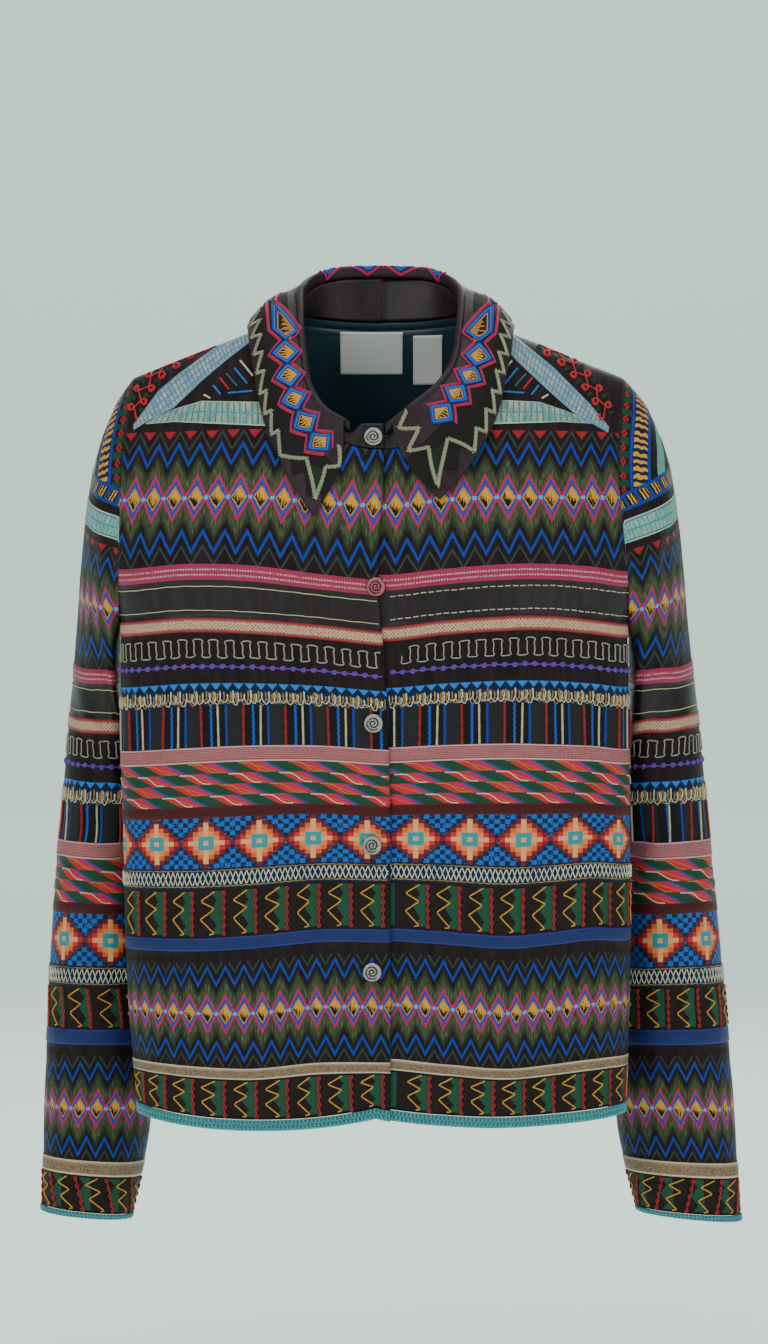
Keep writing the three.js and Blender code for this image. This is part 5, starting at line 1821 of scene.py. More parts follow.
# %% Collar stations
# From the nape to the front corner: fold line x, y, z, then the free edge's x, y, z
COLLAR_RIGHT = np.array([
    (-4, 57, 60, -4, 73, -9), (34, 52, 58, 50, 66, -7), (54, 38, 51, 88, 46, -1),
    (64, 14, 39, 108, 14, 10), (64, -10, 22, 108, -24, -2), (63, -32, 2, 103, -52, -32),
    (60, -54, -22, 95, -77, -72), (55, -74, -48, 82, -95, -106), (43, -89, -68, 67, -105, -134),
    (24, -95, -80, 52, -110, -158),
])
COLLAR_LEFT = np.array([
    (4, 57, 60, 4, 73, -9), (42, 52, 58, 58, 66, -7), (62, 38, 51, 96, 46, -1),
    (72, 14, 39, 116, 14, 10), (72, -10, 22, 116, -24, -2), (70, -32, 2, 111, -52, -32),
    (65, -56, -26, 102, -77, -70), (52, -76, -47, 88, -95, -100), (30, -90, -66, 71, -104, -124),
    (11, -96, -82, 53, -108, -144),
])
CORNER_PLACE = {"right": 0.87, "left": 0.98}
RIDGE_RADIUS = 3.2
FALL_CLEAR = 3.6
FALL_BOW = 7
CORNER_SWELL = 11
LIP_DEPTH = 6.4


def collar_station(place):
    """Fold line and free edge at a place round the neck: -1 right corner, 0 nape, 1 left corner."""
    both = []
    for side, table in ((-1, COLLAR_RIGHT), (1, COLLAR_LEFT)):
        read = [read_rows(np.arange(10), table[:, c], np.abs(place) * 9) for c in range(6)]
        read[0] = read[0] * side
        read[3] = read[3] * side
        both.append(np.stack(read, axis=-1))
    station = np.where((place < 0)[..., None], both[0], both[1])
    return station[..., :3], station[..., 3:]


def unit(vectors):
    return vectors / np.maximum(np.linalg.norm(vectors, axis=-1, keepdims=True), 1e-9)


def clear_of_body(points):
    """The same points, moved out where they would touch the body cloth below."""
    x, y, z = points[..., 0], points[..., 1], points[..., 2]
    moved = points.copy()
    for panel, way in (("front", -1), ("back", 1)):
        here = body_y(panel, x, z, creased=False)
        slope_x = (body_y(panel, x + 2, z, creased=False) - here) / 2
        slope_z = (body_y(panel, x, z - 2, creased=False) - here) / 2
        limit = here + way * FALL_CLEAR * np.sqrt(1 + slope_x**2 + slope_z**2)
        on_panel = (y < 12) == (panel == "front")
        needs = on_panel & (z <= ridge_height(x)) & ((y - limit) * way < 0)
        moved[..., 1] = np.where(needs, limit, moved[..., 1])
    return moved


def fall_points(place, rows_down=30, rows_round=10):
    """The fall's outer face at places round the neck: rows from the free edge over the roll to the inner lip."""
    ridge, edge = collar_station(place)
    outward = (edge - ridge) * np.array([1.0, 1.0, 0.0])
    outward = unit(outward)
    sideways = np.stack([-outward[..., 1], outward[..., 0], np.zeros(place.shape)], axis=-1)
    bow = unit(np.cross(edge - ridge, sideways))
    bow = bow * np.sign((bow * outward).sum(axis=-1, keepdims=True))
    corner = smooth((np.abs(place) - 0.8) / 0.2)
    side = np.where(place < 0, -1, 1)
    start = ridge + outward * RIDGE_RADIUS
    rows = []
    for share in np.linspace(1, 0, rows_down):
        bulge = math.sin(share * math.pi)
        point = start + (edge - start) * share + bow * (FALL_BOW * bulge * (1 - corner * 0.6))[..., None]
        point[..., 0] -= side * CORNER_SWELL * bulge * corner
        lies = min(1.0, max(0.0, (share - 0.2) / 0.2))
        rows.append(blend(point, clear_of_body(point), lies))
    for turn in np.linspace(0, math.pi, rows_round + 1)[1:]:
        point = ridge + outward * (RIDGE_RADIUS * math.cos(turn))
        point[..., 2] += RIDGE_RADIUS * math.sin(turn)
        rows.append(point)
    for share in (0.5, 1.0):
        lip = rows[rows_down + rows_round - 1].copy()
        lip[..., 2] -= LIP_DEPTH * share
        rows.append(lip)
    return np.array(rows)


class FallSurface:
    """The outside of the fall, found from the place round the neck and the millimetres down from its crest."""

    steps = (0.004, 0.6)
    turn = 1

    def __init__(self):
        self.places = np.linspace(-1, 1, 401)
        rows = fall_points(self.places, 60, 16)
        crest = 60 + 7
        step = np.linalg.norm(np.diff(rows, axis=0), axis=2)
        length = np.concatenate([np.zeros((1, 401)), np.cumsum(step, axis=0)])
        down = length[crest] - length
        self.depth = down[0]
        self.levels = np.arange(-14.0, 110.0, 0.5)
        self.table = np.empty((len(self.levels), 401, 3))
        for i in range(401):
            for axis in range(3):
                self.table[:, i, axis] = np.interp(self.levels, down[::-1, i], rows[::-1, i, axis])

    def __call__(self, place, down):
        place, down = np.broadcast_arrays(np.asarray(place, float), np.asarray(down, float))
        column = np.clip((place + 1) * 200, 0, 399.999)
        row = np.clip((down + 14.0) * 2, 0, len(self.levels) - 1.001)
        c, r = np.floor(column).astype(int), np.floor(row).astype(int)
        over, below = (column - c)[..., None], (row - r)[..., None]
        high = blend(self.table[r, c], self.table[r, c + 1], over)
        low = blend(self.table[r + 1, c], self.table[r + 1, c + 1], over)
        return blend(high, low, below)

    def lifted(self, place, down, lift):
        place = np.clip(place, -0.995, 0.995)
        step_a, step_b = self.steps
        along = self(place + step_a, down) - self(place - step_a, down)
        up = self(place, down - step_b) - self(place, down + step_b)
        normal = unit(np.cross(up, along))
        return self(place, down) + normal * np.asarray(lift, float)[..., None]

    def find(self, x, z):
        """The place and depth that the camera sees at x, z on the plane through the origin."""
        scale = 4000 / (4000 + self.table[..., 1])
        seen_x = 6.8 + (self.table[..., 0] - 6.8) * scale
        seen_z = -286.5 + (self.table[..., 2] + 286.5) * scale
        on_cloth = (self.levels[:, None] > 0) & (self.levels[:, None] < self.depth[None, :] - 1)
        miss = np.where(on_cloth, (seen_x - x) ** 2 + (seen_z - z) ** 2, 1e9)
        row, column = np.unravel_index(np.argmin(miss), miss.shape)
        return self.places[column], self.levels[row]

    def step(self, place, down, move):
        """Where a small move along the cloth, given in space, leads to."""
        across = (self(place + 0.01, down) - self(place - 0.01, down)) / 0.02
        along = self(place, down + 1) - self(place, down - 1)
        along = along / 2
        grid = np.array([[across @ across, across @ along], [across @ along, along @ along]])
        return np.linalg.solve(grid, np.array([across @ move, along @ move]))


fall_surface = FallSurface()
print("fall", round(float(fall_surface.depth[200])), "mm deep at the nape")

# %% [markdown]
# ## The collar's satin
#
# The fall is plum satin. Between the rope zigzag near its edge and the chain of diamonds near its fold the cloth
# is covered with dense black-brown stitches, so it looks darker and duller there.

# %% Collar satin and the fall
TOOTH_PERIOD = 21.0
TOOTH_INSET = 4.5
TOOTH_DEPTH = 12.5

collar = cloth_ground("collar_satin", (0.016, 0.0075, 0.0105), (0.034, 0.018, 0.024), 0.42, 0.2)
dense = collar.noise(1.8, 0.35, 2.0, 6.0)
tooth = collar.u.peak(TOOTH_PERIOD) * -TOOTH_DEPTH + (TOOTH_DEPTH + TOOTH_INSET)
worked = tooth.below(collar.v) * collar.v.below(44.0)
collar.paint(worked, (0.004, 0.0032, 0.003), 0.5, 0.65)
collar.shade(dense, 0.75, 1.25)
collar.height = collar.height + dense * 0.4
collar_satin = collar.done(0.5, 0.25)


def lengths_along(points):
    """Signed length along the middle row of a grid, from its middle column."""
    step = np.linalg.norm(np.diff(points, axis=0), axis=1)
    length = np.concatenate([[0], np.cumsum(step)])
    return length - length[len(length) // 2]


fall_place = np.linspace(-1, 1, 241)
fall_rows = fall_points(fall_place)
fall_edge_length = lengths_along(fall_rows[0])
fall_depth = np.concatenate([[np.zeros(241)], np.cumsum(np.linalg.norm(np.diff(fall_rows, axis=0), axis=2), axis=0)])
fall_u = np.repeat(fall_edge_length[None], len(fall_rows), axis=0)
ripple = 0.25 * np.sin(fall_u * 0.09) * np.sin(fall_depth * 0.11) + 0.1 * np.sin(fall_u * 0.31 + fall_depth * 0.2)
ripple = ripple * smooth(fall_depth / 15) * smooth((58 - fall_depth) / 12)
fall_rows = fall_rows + unit(fall_rows - np.array([4.0, 0.0, -20.0])) * ripple[..., None]


def from_neck(spot):
    return spot - Vector((0.004, 0, min(spot.z, 0.05)))


none = [0] * len(fall_rows)
fall = sheet_mesh(
    "collar_fall_cloth", fall_rows[::-1], fall_u[::-1], fall_depth[::-1], none, none, [collar_satin, plum_satin],
    from_neck,
)
panel_areas["fall"] = area_of(fall)
wall(fall, CLOTH - 0.2, 1)
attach(fall, "root")
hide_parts("collar_fall")
print(fall.name, len(fall.data.polygons), "faces", round(panel_areas["fall"], 3), "m2")

# %% [markdown]
# ## The stand
#
# The stand is plain satin, cut on the straight. It rises from the neck seam to just inside the roll, and its
# right end laps over the left one, where the top button closes it.

# %% Neck seam and stand
STAND_INSET = 2.4
STAND_CLEAR = 1.1
STAND_TOP_DROP = 8
SHOULDER_PLACE = 1 / 3


def neck_seam(place):
    """The edge of the neck opening, on the outer face of the body cloth."""
    side = np.where(place < 0, -1, 1)
    out = np.abs(place)
    across = np.clip(out / SHOULDER_PLACE, 0, 1)
    back_x = NECK_CENTRE_X + side * NECK_HALF_WIDTH * across
    back_z = NECK_POINT_Z - (NECK_POINT_Z - BACK_NECK_Z) * (1 - across**2)
    turn = np.clip((out - SHOULDER_PLACE) / (1 - SHOULDER_PLACE), 0, 1) ** 1.35 * math.pi / 2
    front_x = NECK_CENTRE_X + side * NECK_HALF_WIDTH * np.cos(turn) ** 0.8
    front_z = blend(NECK_POINT_Z, FRONT_NECK_Z, np.sin(turn) ** 0.8)
    behind = out < SHOULDER_PLACE
    x = np.where(behind, back_x, front_x)
    z = np.where(behind, back_z, front_z)
    y = np.where(behind, body_y("back", x, z, creased=False), body_y("front", x, z, creased=False))
    return np.stack([x, y, z], axis=-1)


def toward_middle(points):
    way = np.stack([NECK_CENTRE_X - points[..., 0], -points[..., 1], np.zeros(points.shape[:-1])], axis=-1)
    return unit(way)


def stand_points(rows=14):
    place = np.linspace(-1, 1, 161)
    corner = np.where(place < 0, CORNER_PLACE["right"], CORNER_PLACE["left"])
    ridge, _ = collar_station(np.clip(place / corner, -1, 1))
    past = np.clip((np.abs(place) - corner) / (1 - corner), 0, 1)
    ridge[..., 0] = blend(ridge[..., 0], NECK_CENTRE_X, past)
    ridge[..., 2] -= STAND_TOP_DROP * (1 - smooth((np.abs(place) - corner - 0.01) / 0.05))
    top = ridge + toward_middle(ridge) * STAND_INSET
    seam = neck_seam(place)
    seam = seam + toward_middle(seam) * STAND_CLEAR
    seam[..., 2] += STAND_CLEAR
    under = np.where(place > 0, LAP_STEP * smooth((LAP_EASE + NECK_CENTRE_X - seam[..., 0]) / LAP_EASE), 0)
    grid = np.array([blend(seam, top, share) for share in np.linspace(0, 1, rows)])
    grid[..., 1] += under
    ends = []
    for column, x in ((0, float(lap_edge(FRONT_NECK_Z))), (-1, float(UNDERLAP_X))):
        end = grid[:, column].copy()
        end[:, 0] = x
        ends.append(end[:, None])
    grid = np.concatenate([ends[0], grid, ends[1]], axis=1)
    share = np.linspace(0, 1, rows)[:, None]
    along = np.arange(grid.shape[1])[None, :] * 2.2
    gather = 0.9 * np.sin(along * 0.13 + 1.5 * np.sin(along * 0.05)) * np.sin(math.pi * share) ** 0.8
    behind = smooth((grid[..., 1] - 10) / 30)
    return grid - toward_middle(grid) * (gather * behind)[..., None]


stand_rows = stand_points()
stand_u = np.repeat(lengths_along(stand_rows[7])[None], len(stand_rows), axis=0)
stand_v = np.repeat(np.linspace(0, 40, len(stand_rows))[:, None], stand_rows.shape[1], axis=1)
none = [0] * len(stand_rows)
stand = sheet_mesh(
    "collar_stand_cloth", stand_rows[::-1], stand_u[::-1], stand_v[::-1], none, none, [plum_satin, plum_satin],
    lambda spot: spot - Vector((0.004, 0, spot.z)),
)
panel_areas["stand"] = area_of(stand)
wall(stand, 0.9, 1)
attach(stand, "root")
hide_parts("collar_stand")
print(stand.name, round(panel_areas["stand"], 4), "m2")

# %% [markdown]
# ## Lining and labels
#
# Only the back of the lining shows, through the neck. It hangs a little clear of the back, with a pleat down its
# middle that lets the shoulders move. Two blank tape labels are sewn on it, with stitches at their two top corners.

# %% Back lining
LINING_DEPTH = 3.6


def lining_points(columns=81, rows=56):
    surface = BodySurface("back")
    share = np.linspace(-1, 1, columns)
    grid = []
    for t in np.linspace(0, 1, rows):
        z = np.full(columns, -300.0)
        for _ in range(6):
            reach = np.where(share < 0, body_reach(-1, z), body_reach(1, z))
            narrow = blend(0.955, 0.87, smooth((z - UNDERARM_Z) / 209))
            x = share * reach * narrow
            z = blend(-610.0, top_edge("back", np.where(x < 4, -1, 1), x) - 4.5, 1 - (1 - t) ** 1.15)
        y = body_y("back", x, z, creased=False)
        slope_x = body_y("back", x + 1, z, creased=False) - y
        slope_z = body_y("back", x, z + 1, creased=False) - y
        out = unit(np.stack([-slope_x, np.ones(columns), -slope_z], axis=-1))
        pleat = -1.5 * np.exp(-(((x + 2) / 2.4) ** 2)) + 0.8 * np.exp(-(((x - 4) / 4) ** 2))
        wrinkle = 0.6 * np.sin(z * 0.16 + x * 0.05) * np.exp(-(((z + 40) / 60) ** 2)) * np.sin(x * 0.06)
        point = np.stack([x, y, z], axis=-1) - out * (LINING_DEPTH - np.minimum(0.6, pleat + wrinkle))[:, None]
        grid.append(point)
    return np.array(grid)


lining_rows = lining_points()
none = [0] * len(lining_rows)
lining_sheet = sheet_mesh(
    "back_lining_cloth", lining_rows[::-1], lining_rows[::-1, :, 0], lining_rows[::-1, :, 2], none, none,
    [lining_satin, lining_satin], from_middle,
)
panel_areas["lining"] = area_of(lining_sheet)
wall(lining_sheet, 1.0, 1)
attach(lining_sheet, "root")
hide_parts("back_lining")
print(lining_sheet.name, round(panel_areas["lining"], 3), "m2")


# %% Labels
# name, left, right, top, bottom
LABELS = [("neck_label", -31, 23, 6, -29), ("care_label", 32, 57, 3, -38)]
LABEL_DEPTH = LINING_DEPTH + 1.0 + 0.6


def label_sheet(name, left, right, top, bottom):
    columns, rows = 25, 19
    x, z = np.meshgrid(np.linspace(left, right, columns), np.linspace(top, bottom, rows))
    y = body_y("back", x, z, creased=False)
    slope_x = body_y("back", x + 1, z, creased=False) - y
    slope_z = body_y("back", x, z + 1, creased=False) - y
    from_centre = np.abs((x - (left + right) / 2) / (right - left)) * 2
    down = (top - z) / (top - bottom)
    curl = 0.7 * from_centre**6 * down + 0.5 * down**5
    y = y - (LABEL_DEPTH + curl) * np.sqrt(1 + slope_x**2 + slope_z**2)
    points = np.stack([x, y, z], axis=-1)
    none = [0] * rows
    piece = sheet_mesh(f"{name}_tape", points, x, z, none, none, [label_tape, label_tape], from_middle)
    area = area_of(piece)
    wall(piece, 0.7, 1).offset = -1
    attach(piece, "root")
    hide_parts(name)
    width, length = (right - left) * MM, (top - bottom) * MM
    area / width
    stitching = Stitching(f"{name}_stitches")
    for corner_x, corner_z in ((left + 1.5, top - 1.2), (right - 1.5, top - 1.2)):
        for i in range(3):
            near = (np.abs(x - corner_x) + np.abs(z - corner_z)).argmin()
            spot = points.reshape(-1, 3)[near]
            dash = spot + np.array([[-1.2, -1.0, 0.5 - i * 0.8], [1.2, -1.0, 0.5 - i * 0.8]])
            stitching.lay("pale_thread", 0.3, dash)
    stitching.made()
    print(name, round(area * 1e4, 1), "square centimetres")


for row in LABELS:
    label_sheet(*row)

# %% [markdown]
# ## Braid at the hem and the cuffs
#
# A flat teal braid finishes the hem and the cuffs. Its body is a narrow strip that bulges a little, and two rows
# of looping yarn run over it. The loops are real, because they break up the outline of the hem.

# %% Braid
def braid_strip(name, node, points, u, heights):
    """A bulging strip from a grid whose first row is the top."""
    none = [0] * len(points)
    v = np.repeat(np.asarray(heights)[:, None], points.shape[1], axis=1)
    centre = points.reshape(-1, 3).mean(axis=0) * MM
    if "cuff" in name:
        outward = lambda spot: Vector((spot.x - centre[0], spot.y - centre[1], 0))
    else:
        outward = from_middle
    piece = sheet_mesh(name, points, u, v, none, none, [teal_braid, teal_braid], outward)
    wall(piece, 2.2, 1)
    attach(piece, "root")
    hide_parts(node)
    return piece


class Strip:
    """The face of a braid, found from the length along it and the height up it."""

    def __init__(self, rows, axis):
        self.rows = rows
        self.axis = axis
        step = np.linalg.norm(np.diff(rows[3], axis=0), axis=1)
        self.along = np.concatenate([[0], np.cumsum(step)])

    def place(self, u, v, lift):
        column = np.interp(u, self.along, np.arange(len(self.along)))
        row = np.clip((1 - v / BRAID_HEIGHT) * 6, 0, 5.999)
        r = np.floor(row).astype(int)
        c = np.clip(np.floor(column).astype(int), 0, len(self.along) - 2)
        down, over = (row - r)[:, None], (column - c)[:, None]
        high = blend(self.rows[r, c], self.rows[r, c + 1], over)
        low = blend(self.rows[r + 1, c], self.rows[r + 1, c + 1], over)
        spot = blend(high, low, down)
        away = unit((spot - self.axis) * np.array([1.0, 1.0, 0.0]))
        return spot + away * np.asarray(lift)[:, None]


def loop_rows(name, strip, heights=(2.5, 6.5)):
    """Two rows of looping yarn over a braid."""
    stitching = Stitching(name)
    length = strip.along[-1]
    for row, v in enumerate(heights):
        u = np.arange(0.8, length - 0.8, 0.62)
        turn = u * (2 * math.pi / 3.3) + row * 1.5
        line_u = u + 1.25 * np.cos(turn)
        line_v = v + 1.75 * np.sin(turn) + 0.3 * np.sin(u * 0.4)
        for shift, yarn in ((0.0, "braid_light"), (1.6, "braid_dark")):
            moved_u = np.clip(line_u + shift, 0.4, length - 0.4)
            stitching.lay(yarn, 0.42, strip.place(moved_u, line_v + shift * 0.2, 0.5 + 0.35 * np.cos(turn)))
    return stitching.made()


yarns["braid_light"] = yarn("braid_light", (0.14, 0.42, 0.42))
yarns["braid_dark"] = yarn("braid_dark", (0.02, 0.2, 0.25))
BRAID_ROWS = np.linspace(1, 0, 7)


def bulge_of(height):
    return 0.35 + 0.55 * math.sin(math.pi * height)


def hem_rows(panel, side_name, side, from_x, surface):
    """The braid under one panel, made from the panel's own form."""
    share = np.linspace(0, 1, 150)
    way = -1 if panel == "front" else 1
    rows = []
    for height in BRAID_ROWS:
        z = np.full(share.shape, -660.0)
        for _ in range(4):
            x = column_x(side, from_x, share, z)
            z = hem_line(side_name, x) + height * BRAID_HEIGHT
        points = surface(x, z)
        slope_x = (surface(x + 0.5, z)[..., 1] - points[..., 1]) * 2
        slope_z = (surface(x, z + 0.5)[..., 1] - points[..., 1]) * 2
        out = unit(np.stack([-slope_x, np.ones(x.shape), -slope_z], axis=-1)) * way
        rows.append(points + out * bulge_of(height))
    return np.array(rows)


def flat_edge(z):
    return np.full(np.shape(z), float(UNDERLAP_X))


def zero_edge(z):
    return np.zeros(np.shape(z))


BODY_AXIS = np.array([0.0, 20.0, 0.0])
for name, side, from_x in (("right", -1, lap_edge), ("left", 1, flat_edge)):
    rows = hem_rows("front", name, side, from_x, BodySurface("front", under_lap=side > 0))
    strip = Strip(rows, BODY_AXIS)
    node = f"hem_braid_front_{name}"
    lengths = np.repeat(strip.along[None], 7, axis=0)
    braid_strip(f"{node}_strip", node, rows, lengths, BRAID_ROWS * BRAID_HEIGHT)
    loop_rows(f"{node}_loops", strip)

halves = [hem_rows("back", "back", side, zero_edge, BodySurface("back")) for side in (-1, 1)]
rows = np.concatenate([halves[0][:, :0:-1], halves[1]], axis=1)
strip = Strip(rows, BODY_AXIS)
lengths = np.repeat(strip.along[None], 7, axis=0)
braid_strip("hem_braid_back_strip", "hem_braid_back", rows, lengths, BRAID_ROWS * BRAID_HEIGHT)
loop_rows("hem_braid_back_loops", strip)

# %% Cuff braids
for name in ("right", "left"):
    chart = sleeve_charts[name]
    angle = np.linspace(-math.pi, math.pi, 141)
    rows = np.array([
        chart.lifted(np.full(141, 1 - CUFF_SHARE * height), angle, bulge_of(height)) for height in BRAID_ROWS
    ])
    middle = rows.reshape(-1, 3).mean(axis=0)
    strip = Strip(rows, middle)
    node = f"cuff_braid_{name}"
    lengths = np.repeat(strip.along[None], 7, axis=0)
    braid_strip(f"{node}_strip", node, rows, lengths, BRAID_ROWS * BRAID_HEIGHT)
    loop_rows(f"{node}_loops", strip)

# %% [markdown]
# ## The buttons
#
# The buttons are cast metal with a raised rim and a spiral inside it. Each is turned like a bowl: a profile is
# spun round, and then the face is raised along a spiral. The second one's metal is tinted with a painted
# reflection of its rose ribbon.

# %% Buttons
BUTTON_RADIUS = 8.0
BUTTON_HEIGHT = 3.1
# Radius and height of the profile, from the middle of the face to the middle of the back
BUTTON_PROFILE = [(0.001, 2.55)] + [(r, 2.55 - 0.02 * r) for r in np.arange(0.4, 5.8, 0.3)]
BUTTON_PROFILE += [(6.0, 2.5), (6.3, 2.95), (6.8, 3.1), (7.3, 2.95), (7.75, 2.4), (8.0, 1.6), (7.7, 0.8), (6.9, 0.2)]
BUTTON_PROFILE += [(6.2, 0.0), (0.001, 0.0)]


def spiral_height(radius, angle):
    """The ridge that winds out from the middle of a button."""
    if radius > 5.7:
        return 0.0
    return 0.5 * math.cos(angle - radius * 2.5) * min(1.0, radius / 0.8)


def button(index, metal, dark):
    node = f"button_{index}"
    low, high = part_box(node)
    centre = (Vector(low) + Vector(high)) / 2
    x, z = centre.x / MM, centre.z / MM
    if index == 1:
        end = stand_rows[:, 1]
        up = unit(end[-1] - end[0])
        outward = Vector((0, -up[2], up[1]))
    else:
        here = float(body_y("front", x, z, creased=False))
        slope_x = float(body_y("front", x + 1, z, creased=False)) - here
        slope_z = float(body_y("front", x, z + 1, creased=False)) - here
        outward = Vector((slope_x, -1, slope_z)).normalized()
    bm = bmesh.new()
    spots = [bm.verts.new((r * MM, 0, h * MM)) for r, h in BUTTON_PROFILE]
    edges = [bm.edges.new(pair) for pair in zip(spots, spots[1:])]
    bmesh.ops.spin(
        bm, geom=spots + edges, cent=(0, 0, 0), axis=(0, 0, 1), angle=2 * math.pi, steps=48, use_merge=True
    )
    bmesh.ops.remove_doubles(bm, verts=bm.verts, dist=0.00001)
    bmesh.ops.recalc_face_normals(bm, faces=bm.faces)
    for vert in bm.verts:
        radius = math.hypot(vert.co.x, vert.co.y) / MM
        if vert.co.z > 2.2 * MM:
            vert.co.z += spiral_height(radius, math.atan2(vert.co.y, vert.co.x)) * MM
    bm.normal_update()
    for face in bm.faces:
        face.smooth = True
        middle = face.calc_center_median()
        radius = math.hypot(middle.x, middle.y) / MM
        if 2.0 * MM < middle.z < 2.38 * MM and radius < 6.4:
            face.material_index = 1
    turn = Vector((0, 0, 1)).rotation_difference(outward).to_matrix().to_4x4()
    bmesh.ops.transform(bm, matrix=turn, verts=bm.verts)
    bmesh.ops.translate(bm, verts=bm.verts, vec=centre - outward * (BUTTON_HEIGHT / 2 * MM))
    piece = piece_from(bm, f"{node}_cast", metal, dark)
    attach(piece, "root")
    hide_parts(node)
    return piece


for index in range(1, 6):
    # Button 2 takes the metals with the painted rose reflection of its ribbon.
    metals = (pewter_with_painted_rose_reflection, dark_pewter_with_painted_rose_reflection) if index == 2 else (pewter_metal, dark_pewter)
    made = button(index, *metals)
print("five buttons of", len(made.data.polygons), "faces")
# %% [markdown]
# ## The collar's embroidery
#
# A chain of diamonds runs down each leaf of the collar and on round the back, where its points show over the
# roll. Each diamond is a blue frame round a thin gold one, half filled with gold satin stitches, and a magenta
# line zigzags along both sides of the chain. The few middles that show are listed one by one. The rest are spread
# evenly behind the neck. All lines are drawn on the fall's own surface, so they bend with it.

# %% Chain of diamonds
# Middles of the diamonds as the camera sees them, from the nape to the corner
CHAIN = {
    "right": [(-77.4, 24.7), (-76.5, 4.3), (-76.5, -15.3), (-74, -34.9), (-69.7, -54.4), (-60.4, -74), (-48.5, -91)],
    "left": [(89.3, 23), (87.6, 3.4), (87.6, -17.9), (79.9, -34.9), (68, -50.2), (55.3, -67.2)],
}
BEHIND = 4
BEHIND_DOWN = 5.5
DIAMOND_HALF = 12.0
# Size, thread and thickness of the frames round each diamond, from the outside
# The bright blue ring between the two royal ones is a painted highlight along the raised royal frame.
DIAMOND_RINGS = [(0.95, "royal_thread", 1.0), (0.82, "blue_thread", 0.9), (0.69, "royal_thread", 0.8), (0.57, "gold_thread", 0.5)]

collar_stitching = Stitching("collar_threads")


def on_fall(line, lift, steps=5):
    """A line of (place, down) corners, laid over the fall in short steps."""
    line = np.asarray(line, float)
    parts = [blend(a, b, np.linspace(0, 1, steps, endpoint=False)[:, None]) for a, b in zip(line, line[1:])]
    path = np.concatenate(parts + [line[-1:]])
    return fall_surface.lifted(path[:, 0], np.maximum(path[:, 1], -10.0), lift)


found_right = [fall_surface.find(*spot) for spot in CHAIN["right"]]
found_left = [fall_surface.find(*spot) for spot in CHAIN["left"]]
share = np.linspace(0, 1, BEHIND + 2)[1:-1]
behind = [(blend(found_right[0][0], found_left[0][0], s), BEHIND_DOWN) for s in share]
chain = np.array(found_right[::-1] + behind + found_left)


def side_move(place, down, ahead):
    """The move across the chain that leads to a diamond's side corner."""
    here = fall_surface(place, down)
    normal = unit(fall_surface.lifted(place, down, 1.0) - here)
    tangent = unit(ahead - normal * (ahead @ normal))
    return fall_surface.step(place, down, np.cross(normal, tangent) * DIAMOND_HALF)


spots = fall_surface(chain[:, 0], chain[:, 1])
joints = (chain[1:] + chain[:-1]) / 2
first = chain[0] * 2 - joints[0]
last = chain[-1] * 2 - joints[-1]
joints = np.concatenate([first[None], joints, last[None]])
zigzags = {1: [], -1: []}
for i, middle in enumerate(chain):
    ahead = spots[min(i + 1, len(chain) - 1)] - spots[max(i - 1, 0)]
    across = side_move(*middle, ahead)
    corners = np.array([joints[i], middle + across, joints[i + 1], middle - across, joints[i]])
    for scale, yarn, radius in DIAMOND_RINGS:
        collar_stitching.lay(yarn, radius, on_fall(middle + (corners - middle) * scale, 0.45))
    way = (joints[i + 1] - joints[i]) * 0.5 * 0.54
    for n, share in enumerate(np.linspace(-0.88, 0.88, 15)):
        reach = (1 - abs(share)) * 0.54
        gold_to = reach * (0.25 + 0.6 * math.sin(n * 2.1 + i))
        line = [middle + way * share - across * reach, middle + way * share + across * gold_to]
        collar_stitching.lay("gold_thread", 0.5, on_fall(line, 0.4, 2))
    for side in (1, -1):
        zigzags[side] += [joints[i] + across * 0.34 * side, middle + across * 1.22 * side]
for side in (1, -1):
    collar_stitching.lay("magenta_thread", 1.1, on_fall(zigzags[side], 0.45))
    collar_stitching.lay("red_thread", 0.7, on_fall(np.array(zigzags[side]) + (0, 1.3), 0.35))
print(len(chain), "diamonds")

# %% [markdown]
# ## The rope zigzag
#
# Inside the free edge runs a zigzag of slanting sage stitches, close together like a rope. It is laid as many
# short crossing stitches. Its teeth keep one period from the nape to the corner, and there it ends in a long
# pointed lobe that fills the tip of the leaf.

# %% Rope zigzag
LOBE_START = 58
# Corners of the lobe as the camera sees them, from the last tooth to the front edge
LOBES = {
    "right": [(-58.8, -104.6), (-51.3, -139.4), (-42.2, -112.2), (-24.7, -113.1), (-31.5, -94.1)],
    "left": [
        (60.4, -88.1), (52.7, -129), (44.4, -95.6), (27.7, -98.6), (36, -79.7), (19, -79), (25.4, -65.3),
    ],
}
edge_points = fall_surface(fall_surface.places, fall_surface.depth)
edge_length = lengths_along(edge_points)


def rope(path, normals):
    """Slanting stitches across a path."""
    ahead = unit(np.gradient(path, axis=0))
    across = np.cross(normals, ahead)
    slant = ahead * 0.75 + across * 0.85
    for i, (spot, way, up) in enumerate(zip(path, slant, normals)):
        long = 1.75 + 0.25 * math.sin(i * 2.3)
        stitch = np.array([spot - way * long + up * 0.25, spot + up * 0.75, spot + way * long + up * 0.25])
        collar_stitching.lay("sage_thread", 0.5, stitch)


